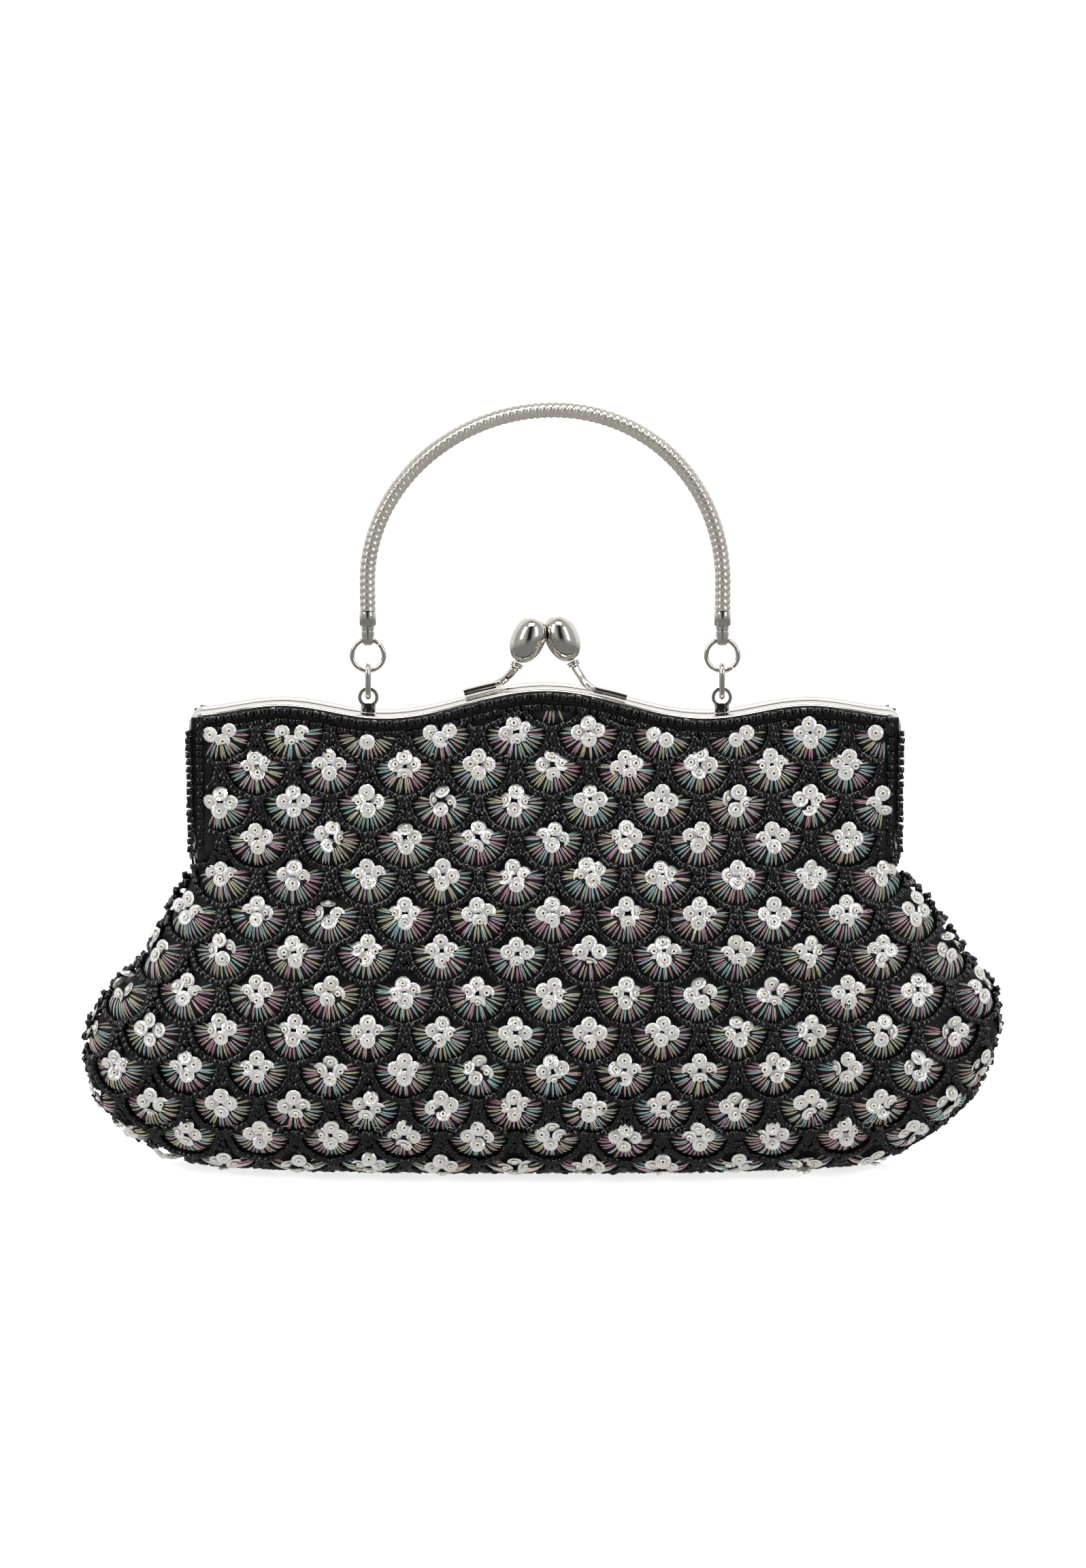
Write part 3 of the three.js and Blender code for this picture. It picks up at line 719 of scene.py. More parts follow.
def lug(name, x):
    outer = lug_outline()
    inner = eye_outline()
    count = len(outer)
    points = [(x + px, 0, pz) for px, pz in np.vstack([outer, inner])]
    faces = [(k, (k + 1) % count, count + (k + 1) % count, count + k) for k in range(count)]
    plate = mesh_piece(name, points, faces, nickel)
    finish_modifiers(
        plate,
        ("SOLIDIFY", {"thickness": LUG_THICKNESS * MM, "offset": 0}),
        ("BEVEL", {"width": 0.13 * MM, "segments": 2, "limit_method": "ANGLE"}),
    )
    smooth_below(plate, 35)
    return plate


def wire_link(name, x):
    """An oval link standing across the bag: a ring with its upper half drawn up."""
    start_fresh()
    bpy.ops.mesh.primitive_torus_add(
        major_radius=LINK_BEND * MM,
        minor_radius=LINK_WIRE * MM,
        major_segments=40,
        minor_segments=16,
        rotation=(math.pi / 2, 0, math.pi / 2),
        location=(x * MM, 0, LINK_FOOT * MM),
    )
    made = bpy.context.object
    made.name = name
    bpy.ops.object.transform_apply(location=True, rotation=True, scale=True)
    for vertex in made.data.vertices:
        if vertex.co.z > (LINK_FOOT - 0.01) * MM:
            vertex.co.z += LINK_STRETCH * MM
    made.data.materials.append(nickel)
    bpy.ops.object.shade_smooth()
    return made


def jump_ring(name, x, opening):
    """Round wire bent to a ring, its two cut ends just apart."""
    start_fresh()
    bpy.ops.mesh.primitive_circle_add(
        vertices=16,
        radius=RING_WIRE * MM,
        fill_type="NGON",
        location=(RING_RADIUS * MM, 0, 0),
    )
    made = bpy.context.object
    made.name = name
    bpy.ops.object.transform_apply(location=True, rotation=True, scale=True)
    bpy.ops.object.mode_set(mode="EDIT")
    bpy.ops.mesh.select_all(action="SELECT")
    bpy.ops.mesh.spin(
        steps=56, angle=2 * math.pi - RING_OPENING, center=(0, 0, 0), axis=(0, 1, 0)
    )
    bpy.ops.object.mode_set(mode="OBJECT")
    face_outwards(made)
    place = Matrix.Translation((x * MM, 0, RING_CENTRE * MM))
    made.data.transform(place @ Matrix.Rotation(opening, 4, "Y"))
    made.data.materials.append(nickel)
    smooth_below(made, 50)
    return made


for side, name in ((1, "right"), (-1, "left")):
    pieces = (
        (lug(f"lug_plate_{name}", side * HANDLE_X), f"lug_{name}", "rear_frame_and_pouch"),
        (wire_link(f"wire_link_{name}", side * HANDLE_X), f"link_{name}", f"link_{name}_body"),
        (
            jump_ring(f"jump_ring_{name}", side * HANDLE_X, side * math.radians(48)),
            f"ring_{name}",
            f"ring_{name}_body",
        ),
    )
    for piece, node, body in pieces:
        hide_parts(node)
        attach(piece, body)

# --- Handle ---
# A round snake chain over a sprung wire core, bent to an arch. A turned brass cap is crimped
# on each end, cross-drilled at its foot for the jump ring.
CAP_BOTTOM = 155.014
CAP_HOLE = 156.614
CAP_HOLE_RADIUS = 1.15
CHAIN_START = 165.414
ARCH_LEG = 8.2
ARCH_RISE = 49.6
ARCH_LEAN = 2.2
CHAIN_RADIUS = 2.35
CHAIN_PITCH = 1.95
RIB_WAVE = 0.32
RIB_DEPTH = 0.42
SEAM_DEPTH = 0.14
CORE_RADIUS = 0.9

chain_nickel = polished_metal(
    "snake_chain_nickel", (0.7, 0.66, 0.6), (0.6, 0.56, 0.5), (0.14, 0.26), 0.25, 0.8
)


def end_cap(name, x):
    profile = [
        (0, 0),
        (0.7, 0.05),
        (1.25, 0.28),
        (1.62, 0.7),
        (1.82, 1.3),
        (1.86, 1.9),
        (1.86, 4.15),
        (1.74, 4.25),
        (1.7, 4.4),
        (1.74, 4.55),
        (1.86, 4.65),
        (1.86, 5.75),
        (1.95, 5.82),
        (2.28, 5.9),
        (2.38, 6.05),
        (2.38, 9.85),
        (2.3, 10.05),
        (2.15, 10.1),
        (0, 10.1),
    ]
    cap = turned(name, profile, nickel, 36)
    cap.data.transform(Matrix.Translation((x * MM, 0, CAP_BOTTOM * MM)))
    start_fresh()
    bpy.ops.mesh.primitive_cylinder_add(
        vertices=24,
        radius=CAP_HOLE_RADIUS * MM,
        depth=12 * MM,
        rotation=(0, math.pi / 2, 0),
        location=(x * MM, 0, CAP_HOLE * MM),
    )
    drill = bpy.context.object
    finish_modifiers(cap, ("BOOLEAN", {"object": drill, "operation": "DIFFERENCE"}))
    bpy.data.objects.remove(drill)
    smooth_below(cap, 35)
    return cap


for side, name in ((1, "right"), (-1, "left")):
    cap = end_cap(f"turned_cap_{name}", side * HANDLE_X)
    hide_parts(f"end_cap_{name}")
    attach(cap, "handle")

arch = [(HANDLE_X, 0, CHAIN_START)]
for t in np.linspace(0, math.pi, 200):
    sprung = HANDLE_X * math.cos(t) + ARCH_LEAN * math.sin(t) ** 2
    arch.append((sprung, 0, CHAIN_START + ARCH_LEG + ARCH_RISE * math.sin(t)))
arch.append((-HANDLE_X, 0, CHAIN_START))
chain_line, chain_distance = along(arch, CHAIN_PITCH / 6)


def chain_size(angles, distance):
    """Rounded ribs whose edges run in waves round the chain, each tucked under the next."""
    wave = RIB_WAVE * np.abs(np.sin(2 * angles + 0.785))
    share = (distance / CHAIN_PITCH + wave) % 1
    rib = np.sin(math.pi * share) ** 0.6
    seam = SEAM_DEPTH * np.abs(np.cos(4 * angles)) ** 6
    radius = CHAIN_RADIUS - RIB_DEPTH * (1 - rib) - seam * (1 - share)
    return radius, radius


def core_size(angles, _):
    radius = np.full(len(angles), CORE_RADIUS)
    return radius, radius


snake_chain = skin("snake_chain", tube_rings(chain_line, 32, chain_size), chain_nickel, 50)
core_line, _ = along(arch, 4)
core_wire = skin("spring_core", tube_rings(core_line, 12, core_size), chain_nickel)
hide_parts("handle_chain")
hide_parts("handle_core_wire")
for piece in (snake_chain, core_wire):
    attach(piece, "handle")

# --- Pouch cloth ---
# Black satin over thin wadding, cut as one front and one rear piece, quilted into rows of
# overlapping scales and seamed along the sides and under the base.

# Rows of the pouch: height, half depth, half width at the left, half width at the right.
POUCH_FORM = [
    (2.9, 0, 97, 84),
    (2.9, 9.6, 102.5, 92),
    (3.8, 16.0, 106, 97),
    (6.2, 20.8, 112.5, 104),
    (12.0, 24.6, 121.5, 112.8),
    (20.8, 27.2, 129.3, 122.8),
    (31, 28.2, 132.3, 128.2),
    (42, 27.6, 131.5, 131.2),
    (53, 25.8, 125.2, 129.5),
    (64, 23.5, 114.4, 121.2),
    (74, 21.3, 109.4, 114.4),
    (84, 18.8, 104.0, 105.8),
    (90, 17.0, 101.0, 101.6),
    (96, 15.1, 100.6, 100.6),
    (105, 12.7, 101.7, 101.7),
    (115, 10.7, 101.7, 101.7),
    (125, 9.0, 101.7, 101.7),
    (135, 7.5, 101.7, 101.7),
    (142.5, 6.95, 101.7, 101.7),
]
CHANNEL_FACE = 6.95
UPPER_START = 96.0
UPPER_TOP = 142.5
UPPER_HALF_WIDTH = 101.7
CLOTH_THICKNESS = 0.35
LIP = 0.8
ROUNDNESS = 2.4
FRAMED_ROUNDNESS = 0.62
SEAM_GAP = 0.15
STATIONS = 801
MIDDLE = 400
FRAME_FOOT = 95
EDGE_STEPS_OUT = (88, 97)
EDGE_FILLS_OUT = (84, 100)
PADDING_CHANGES = (94, 98)
SCALE_PITCH = 21.2
ROW_PITCH = 11.0
SCALE_WIDE = 9.8
SCALE_DEEP = 10.65
PAD_HEIGHT = 1.8
FLOWER_HEIGHTS = (122.0, 111.6, 101.4, 91.0, 80.5, 69.7, 58.3, 47.3, 36.7, 26.1, 17.0)
DROOP = 0.17
FIRST_COLUMN = 2.0
FLOWER_OVERHANG = 9
GRID = 0.75


form = smooth_through(POUCH_FORM, 16)
form_up = np.concatenate([[0], np.cumsum(np.hypot(np.diff(form[:, 0]), np.diff(form[:, 1])))])
upper_rows = form[:, 0] > UPPER_START - 1


def blend_up(height, low, high):
    """0 below the low height, 1 above the high one, and eased between them."""
    return eased(np.clip((height - low) / (high - low), 0, 1))


class ClothSide:
    """One side of the pouch, described as the front: where the cloth lies, and where its
    quilting is, by the distance across from the middle and up from the base seam."""

    def __init__(self, left, right, seed):
        self.left = left
        self.right = right
        self.random = np.random.default_rng(seed)
        self.rows = np.arange(0, form_up[-1] + GRID, GRID)
        self.stations = np.linspace(-1, 1, STATIONS)
        up, station = np.meshgrid(self.rows, self.stations, indexing="ij")
        points = self.bare(station, up)
        step = np.linalg.norm(np.diff(points, axis=1), axis=2)
        self.across = np.concatenate([np.zeros((len(self.rows), 1)), np.cumsum(step, 1)], 1)
        self.across -= self.across[:, MIDDLE : MIDDLE + 1]
        self.columns = np.arange(-160, 160 + GRID, GRID)
        across, up = np.meshgrid(self.columns, self.rows)
        station = np.array(
            [np.interp(self.columns, line, self.stations) for line in self.across]
        )
        beyond = np.abs(across) - np.abs(self.limit(across, up))
        flat = self.bare(station, up)
        flat[..., 0] += np.sign(across) * np.clip(beyond, 0, None) * 0.2
        self.flat = flat
        self.flat_normal = self.normals(flat)
        self.flowers = self.flower_places()
        self.pad = self.padding(across, up)
        self.quilted = flat + self.flat_normal * self.pad[..., None]
        self.normal = self.normals(self.quilted)
        sideways = np.gradient(self.quilted, axis=1)
        self.sideways = sideways / np.maximum(np.linalg.norm(sideways, axis=2), 1e-9)[..., None]

    def bare(self, station, up):
        height = np.interp(up, form_up, form[:, 0])
        depth = np.interp(up, form_up, form[:, 1])
        left = np.interp(up, form_up, form[:, self.left])
        right = np.interp(up, form_up, form[:, self.right])
        x = station * np.where(station < 0, left, right)
        top = frame_top(x) - LIP
        share = (height - UPPER_START) / (top - UPPER_START)
        level = UPPER_START + np.clip(share, 0, 1) * (UPPER_TOP - UPPER_START)
        upper_depth = np.interp(level, form[upper_rows, 0], form[upper_rows, 1])
        depth = np.where(height > UPPER_START, upper_depth, depth)
        edge = CHANNEL_FACE * blend_up(height, *EDGE_STEPS_OUT)
        filled = blend_up(height, *EDGE_FILLS_OUT)
        power = 1 / ROUNDNESS + (FRAMED_ROUNDNESS - 1 / ROUNDNESS) * filled
        swell = np.clip(1 - np.abs(station) ** ROUNDNESS, 0, 1) ** power
        y = -(edge + (depth - edge) * swell) - SEAM_GAP
        return np.stack([x, y, height], -1)

    def limit(self, across, up):
        """The side seam's distance from the middle, on the side where the place is."""
        return np.where(
            across < 0,
            np.interp(up, self.rows, self.across[:, 0]),
            np.interp(up, self.rows, self.across[:, -1]),
        )

    @staticmethod
    def normals(points):
        normal = np.cross(np.gradient(points, axis=1), np.gradient(points, axis=0))
        return normal / np.maximum(np.linalg.norm(normal, axis=2), 1e-9)[..., None]

    def sample(self, grid, across, up):
        """A value of a grid at any place on the cloth."""
        column = np.clip((across - self.columns[0]) / GRID, 0, len(self.columns) - 1.001)
        row = np.clip(up / GRID, 0, len(self.rows) - 1.001)
        c = column.astype(int)
        r = row.astype(int)
        fc = (column - c)[..., None]
        fr = (row - r)[..., None]
        values = grid if grid.ndim == 3 else grid[..., None]
        low = values[r, c] * (1 - fc) + values[r, c + 1] * fc
        high = values[r + 1, c] * (1 - fc) + values[r + 1, c + 1] * fc
        found = low * (1 - fr) + high * fr
        return found if grid.ndim == 3 else found[..., 0]

    def edge_gap(self, across, up):
        """How far a place is inside the frame's edge, or inside the side seam below it."""
        point = self.sample(self.flat, across, up)
        seam = np.abs(self.limit(across, up)) - np.abs(across)
        leg = FRAME_HALF_WIDTH + 1.2 - np.abs(point[..., 0])
        lip = np.minimum(leg, frame_top(point[..., 0]) - point[..., 2])
        return np.where(point[..., 2] > FRAME_FOOT, np.minimum(lip, seam + LIP), seam)

    def flower_places(self):
        """Centres of the flowers, row by row from the top, in staggered columns."""
        heights = np.array(FLOWER_HEIGHTS)
        above = form[:, 0] > 9
        ups = list(np.interp(heights, form[above, 0], form_up[above]))
        ups = [ups[0] + 2 * ROW_PITCH - 2.0, ups[0] + ROW_PITCH - 1.4, *ups]
        while ups[-1] > ROW_PITCH:
            ups.append(ups[-1] - ROW_PITCH)
        places = []
        for k, up in enumerate(ups):
            shift = FIRST_COLUMN + (SCALE_PITCH / 2 if k % 2 else 0)
            for column in range(-8, 9):
                across = shift + column * SCALE_PITCH
                seam = abs(float(self.limit(np.array(across), np.array(up))))
                if abs(across) < seam + FLOWER_OVERHANG:
                    wander = self.random.normal(0, 0.22, 2)
                    forward = self.sample(self.flat, np.array((0.0, across)), np.array((up, up)))
                    droop = DROOP * (forward[1, 1] - forward[0, 1])
                    places.append((across + wander[0], up + wander[1] - droop))
        return np.array(places)

    def padding(self, across, up):
        """Height of the wadding: each scale swells between its flower and its bead row."""
        pad = np.zeros_like(across)
        for centre_across, centre_up in self.flowers:
            near = (np.abs(across - centre_across) < 11) & (np.abs(up - centre_up) < 12)
            da = across[near] - centre_across
            db = up[near] - centre_up
            reach = np.hypot(da / SCALE_WIDE, np.minimum(db - 1, 0) / SCALE_DEEP)
            swell = np.sin(math.pi * np.clip((reach - 0.02) / 0.86, 0, 1)) ** 0.75
            fade = np.clip((2.2 - db) / 2.6, 0, 1)
            pad[near] = np.maximum(pad[near], PAD_HEIGHT * swell * eased(fade))
        gap = self.edge_gap(across, up)
        seamed_edge = np.clip((gap - 1.5) / 3.5, 0, 1)
        framed_edge = np.clip((gap - 5.2) / 2.6, 0, 1)
        framed = blend_up(self.sample(self.flat, across, up)[..., 2], *PADDING_CHANGES)
        return pad * (seamed_edge * (1 - framed) + framed_edge * framed)


front_side = ClothSide(2, 3, 11)
rear_side = ClothSide(3, 2, 23)


def satin(name, weave_strength, low, high, roughness):
    """Black satin: fine close weave, soft sheen, and slight unevenness of the dye."""
    material, tree, shader = new_finish(name)
    coordinates = tree.nodes.new("ShaderNodeTexCoord")
    place = coordinates.outputs["Object"]
    cloth = coordinates.outputs["UV"]
    mottle(tree, place, 60, (*low, 1), (*high, 1), shader.inputs["Base Color"])
    smoother = grey(roughness - 0.06)
    mottle(tree, place, 300, smoother, grey(roughness + 0.08), shader.inputs["Roughness"])
    shader.inputs["Sheen Weight"].default_value = 0.03
    shader.inputs["Sheen Roughness"].default_value = 0.4
    shader.inputs["Specular IOR Level"].default_value = 0.25
    warp = add_node(tree, "ShaderNodeTexWave", Scale=1150, Distortion=0.4, Detail=1)
    weft = add_node(tree, "ShaderNodeTexWave", Scale=900, Distortion=0.4, Detail=1)
    weft.bands_direction = "Y"
    tree.links.new(cloth, warp.inputs["Vector"])
    tree.links.new(cloth, weft.inputs["Vector"])
    woven = tree.nodes.new("ShaderNodeMath")
    woven.operation = "MAXIMUM"
    tree.links.new(warp.outputs["Fac"], woven.inputs[0])
    tree.links.new(weft.outputs["Fac"], woven.inputs[1])
    relief(tree, woven.outputs[0], shader, weave_strength, 0.00008)
    return material


black_satin = satin("black_satin", 0.4, (0.0025, 0.0025, 0.003), (0.006, 0.006, 0.007), 0.5)


def cloth_sheet(name, side, spacing, offset, edge, wrinkle, thickness, material):
    """A sheet of cloth over one side, `offset` outside or inside the quilted face."""
    columns = int(270 / spacing)
    station = np.sin(np.linspace(-1, 1, columns) * math.pi / 2)
    station = 0.45 * station + 0.55 * np.linspace(-1, 1, columns)
    station *= edge
    upper_foot = np.interp(UPPER_START, form[upper_rows, 0], form_up[upper_rows])
    low = np.arange(0, upper_foot, spacing)
    share = np.linspace(0, 1, int(48 / spacing))
    x = station * UPPER_HALF_WIDTH
    top = frame_top(x) - LIP - (0 if offset >= 0 else 0.4)
    upper_end = np.interp(top, form[upper_rows, 0], form_up[upper_rows])
    up = np.vstack(
        [
            np.repeat(low[:, None], columns, 1),
            upper_foot + share[:, None] * (upper_end - upper_foot)[None, :],
        ]
    )
    rows = up.shape[0]
    place = np.repeat(station[None, :], rows, 0)
    line = np.clip(up / GRID, 0, len(side.rows) - 1.001)
    r = line.astype(int)
    near = (place + 1) * MIDDLE
    n = np.clip(near.astype(int), 0, STATIONS - 2)
    f = near - n
    low_across = side.across[r, n] * (1 - f) + side.across[r, n + 1] * f
    high_across = side.across[r + 1, n] * (1 - f) + side.across[r + 1, n + 1] * f
    across = low_across + (high_across - low_across) * (line - r)
    points = side.bare(place, up)
    normal = side.sample(side.flat_normal, across, up)
    height = side.sample(side.pad, across, up) if offset >= 0 else wrinkle(across, up)
    points = points + normal * (height + offset)[..., None]
    faces = []
    for i in range(rows - 1):
        for k in range(columns - 1):
            a = i * columns + k
            faces.append((a, a + 1, a + columns + 1, a + columns))
    made = mesh_piece(name, points.reshape(-1, 3), faces, material)
    layer = made.data.uv_layers.new(name="cloth")
    corner = np.zeros(len(made.data.loops), int)
    made.data.loops.foreach_get("vertex_index", corner)
    flat = np.stack([across.ravel(), up.ravel()], 1)[corner] * MM
    layer.data.foreach_set("uv", flat.astype(np.float32).ravel())
    finish_modifiers(made, ("SOLIDIFY", {"thickness": thickness * MM, "offset": -1}))
    pick(made)
    bpy.ops.object.shade_smooth()
    return made


def settle(front_piece, rear_piece):
    """Bakes the front piece's placement into its mesh, leaving it on no body; the rear one is fixed to
    the rear frame and pouch."""
    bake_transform(front_piece)
    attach(rear_piece, "rear_frame_and_pouch")


front_cloth = cloth_sheet(
    "front_cloth", front_side, 1.25, 0, 1, None, CLOTH_THICKNESS, black_satin
)
rear_cloth = half_turn(
    cloth_sheet("rear_cloth", rear_side, 1.25, 0, 1, None, CLOTH_THICKNESS, black_satin)
)
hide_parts("front_lower_panel", "front_upper_panel")
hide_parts("rear_panel")
settle(front_cloth, rear_cloth)

# --- Thread rays ---
# Fine metallic thread in pink, pale yellow, pale blue-green and silver. Each stitch is a
# doubled strand laid from under a flower out towards the bead row of its scale.
RAYS = 21
FAN_START = math.radians(-9)
FAN_END = math.radians(189)
STRAND_RADIUS = 0.085
STRAND_STEPS = 4
STRAND_LIFT = 0.06
STRAND_ARCH = 0.12
STRAND_EDGE_GAP = 4.9
COLOUR_SHARES = (0.3, 0.32, 0.26, 0.12)


def thread_finish(name, colour, shade):
    material, tree, shader = new_finish(name)
    place = tree.nodes.new("ShaderNodeTexCoord").outputs["Object"]
    mottle(tree, place, 900, (*shade, 1), (*colour, 1), shader.inputs["Base Color"])
    shader.inputs["Metallic"].default_value = 0.2
    mottle(tree, place, 2500, grey(0.25), grey(0.5), shader.inputs["Roughness"])
    return material


thread_colours = [
    thread_finish("pink_thread", (0.92, 0.6, 0.7), (0.68, 0.38, 0.48)),
    thread_finish("yellow_thread", (0.95, 0.92, 0.68), (0.72, 0.68, 0.45)),
    thread_finish("blue_green_thread", (0.68, 0.92, 0.9), (0.45, 0.7, 0.68)),
    thread_finish("silver_thread", (0.85, 0.85, 0.83), (0.6, 0.6, 0.6)),
]


def build_many(name, points, sizes, corners, materials, material_index=None, smooth=False):
    """One mesh from arrays: points in millimetres, corners of all faces and their counts."""
    mesh = bpy.data.meshes.new(name)
    mesh.vertices.add(len(points))
    mesh.vertices.foreach_set("co", (points * MM).astype(np.float32).ravel())
    mesh.loops.add(len(corners))
    mesh.loops.foreach_set("vertex_index", corners.astype(np.int32))
    mesh.polygons.add(len(sizes))
    starts = np.concatenate([[0], np.cumsum(sizes)[:-1]])
    mesh.polygons.foreach_set("loop_start", starts.astype(np.int32))
    for material in materials:
        mesh.materials.append(material)
    if material_index is not None:
        mesh.polygons.foreach_set("material_index", material_index.astype(np.int32))
    mesh.polygons.foreach_set("use_smooth", np.full(len(sizes), smooth))
    mesh.update(calc_edges=True)
    mesh.validate()
    made = bpy.data.objects.new(name, mesh)
    bpy.context.scene.collection.objects.link(made)
    return made


def thread_rays(name, side):
    random = side.random
    lines = []
    colours = []
    for flower_across, flower_up in side.flowers:
        for turn in np.linspace(FAN_START, FAN_END, RAYS):
            turn += random.normal(0, 0.035)
            out = np.array([math.cos(turn), -math.sin(turn)])
            rim = np.array([SCALE_WIDE * out[0], 1 + SCALE_DEEP * out[1]])
            start = out * random.uniform(3.2, 4.2)
            end = rim * random.uniform(0.85, 0.9)
            cross = np.array([-out[1], out[0]])
            colour = random.choice(4, p=COLOUR_SHARES)
            for bow in (-1, 1):
                share = np.linspace(0, 1, STRAND_STEPS)[:, None]
                belly = np.sin(math.pi * share) ** 0.6
                spread = bow * random.uniform(0.15, 0.22)
                line = start + (end - start) * share + cross * spread * belly
                lines.append(line + (flower_across, flower_up))
                colours.append(colour)
    lines = np.array(lines)
    colours = np.array(colours)
    gap = side.edge_gap(lines[..., 0], lines[..., 1]).min(1)
    low = lines[..., 1].min(1)
    kept = (gap > STRAND_EDGE_GAP) & (low > 1)
    lines = lines[kept]
    colours = colours[kept]
    centre = side.sample(side.quilted, lines[..., 0], lines[..., 1])
    normal = side.sample(side.normal, lines[..., 0], lines[..., 1])
    rise = np.sin(math.pi * np.linspace(0, 1, STRAND_STEPS)) * STRAND_ARCH + STRAND_LIFT
    centre = centre + normal * rise[None, :, None]
    run = np.gradient(centre, axis=1)
    run /= np.linalg.norm(run, axis=2)[..., None]
    across = np.cross(run, normal)
    rings = []
    for angle in np.radians((90, 210, 330)):
        rings.append(
            centre + (across * math.cos(angle) + normal * math.sin(angle)) * STRAND_RADIUS
        )
    points = np.stack(rings, 2)
    count = len(points)
    base = (np.arange(count) * STRAND_STEPS * 3)[:, None, None]
    faces = []
    for i in range(STRAND_STEPS - 1):
        for k in range(3):
            n = (k + 1) % 3
            faces.append((i * 3 + k, i * 3 + n, i * 3 + 3 + n, i * 3 + 3 + k))
    corners = (base + np.array(faces)[None]).reshape(-1)
    sizes = np.full(count * len(faces), 4)
    colour_index = np.repeat(colours, len(faces))
    return build_many(
        name, points.reshape(-1, 3), sizes, corners, thread_colours, colour_index, True
    )


front_rays = thread_rays("front_thread_rays", front_side)
rear_rays = half_turn(thread_rays("rear_thread_rays", rear_side))
settle(front_rays, rear_rays)

# --- Beads round the scales ---
# Square-cut jet glass beads, 1.7 mm, strung and couched down in an arc round the lower edge
# of each scale. None sits quite straight.
BEAD = 1.68
BEADS_PER_SCALE = 20
BEAD_SPACING = math.pi * 10.2 / BEADS_PER_SCALE
BEAD_LIFT = 1.1
BEAD_TURN = 0.13
BEAD_FRAME_GAP = 5.5
BEAD_SEAM_GAP = 0.9


def jet_finish():
    material, tree, shader = new_finish("jet_glass")
    place = tree.nodes.new("ShaderNodeTexCoord").outputs["Object"]
    dark = (0.0015, 0.0015, 0.002, 1)
    mottle(tree, place, 500, dark, (0.004, 0.004, 0.005, 1), shader.inputs["Base Color"])
    mottle(tree, place, 900, grey(0.04), grey(0.12), shader.inputs["Roughness"])
    shader.inputs["IOR"].default_value = 1.54
    ripple = add_node(tree, "ShaderNodeTexNoise", Scale=1400, Detail=2)
    tree.links.new(place, ripple.inputs["Vector"])
    relief(tree, ripple.outputs["Fac"], shader, 0.12, 0.00005)
    return material


jet_glass = jet_finish()


def square_bead():
    """One bead, kept aside as the pattern for all: a cube with its edges ground off."""
    start_fresh()
    bpy.ops.mesh.primitive_cube_add(size=1)
    made = bpy.context.object
    made.name = "bead_pattern"
    finish_modifiers(made, ("BEVEL", {"width": 0.09, "segments": 1, "limit_method": "NONE"}))
    return made


def sewn(name, pattern, places, turns, sizes, material, smooth=False):
    """One mesh of many copies of a pattern, each at its place, turned and sized its own way."""
    shape = np.array([v.co for v in pattern.data.vertices])
    corners = np.concatenate([np.array(p.vertices) for p in pattern.data.polygons])
    counts = np.array([len(p.vertices) for p in pattern.data.polygons])
    copies = len(places)
    sized = shape[None] * sizes[:, None, :]
    points = np.einsum("nij,nvj->nvi", turns, sized) + places[:, None, :]
    shift = (np.arange(copies) * len(shape))[:, None]
    return build_many(
        name,
        points.reshape(-1, 3),
        np.tile(counts, copies),
        (corners[None] + shift).reshape(-1),
        [material],
        smooth=smooth,
    )


def turn_about(axis_vectors, random, tilt):
    """Small random turns put on rows of (x, y, z) axes."""
    count = len(axis_vectors)
    made = np.empty((count, 3, 3))
    angles = random.normal(0, tilt, (count, 3))
    for k in range(count):
        a, b, c = angles[k]
        ca, cb, cc = math.cos(a), math.cos(b), math.cos(c)
        sa, sb, sc = math.sin(a), math.sin(b), math.sin(c)
        turn_x = np.array([[1, 0, 0], [0, ca, -sa], [0, sa, ca]])
        turn_y = np.array([[cb, 0, sb], [0, 1, 0], [-sb, 0, cb]])
        turn_z = np.array([[cc, -sc, 0], [sc, cc, 0], [0, 0, 1]])
        made[k] = axis_vectors[k] @ turn_z @ turn_y @ turn_x
    return made


def axes_on(side, across, up, heading):
    """Axes at places on the cloth: x along the heading, z away from the cloth."""
    normal = side.sample(side.normal, across, up)
    normal /= np.linalg.norm(normal, axis=1)[:, None]
    sideways = side.sample(side.sideways, across, up)
    upwards = np.cross(normal, sideways)
    x = sideways * np.cos(heading)[:, None] + upwards * np.sin(heading)[:, None]
    x -= normal * np.sum(x * normal, 1)[:, None]
    x /= np.linalg.norm(x, axis=1)[:, None]
    y = np.cross(normal, x)
    return np.stack([x, y, normal], 2), normal


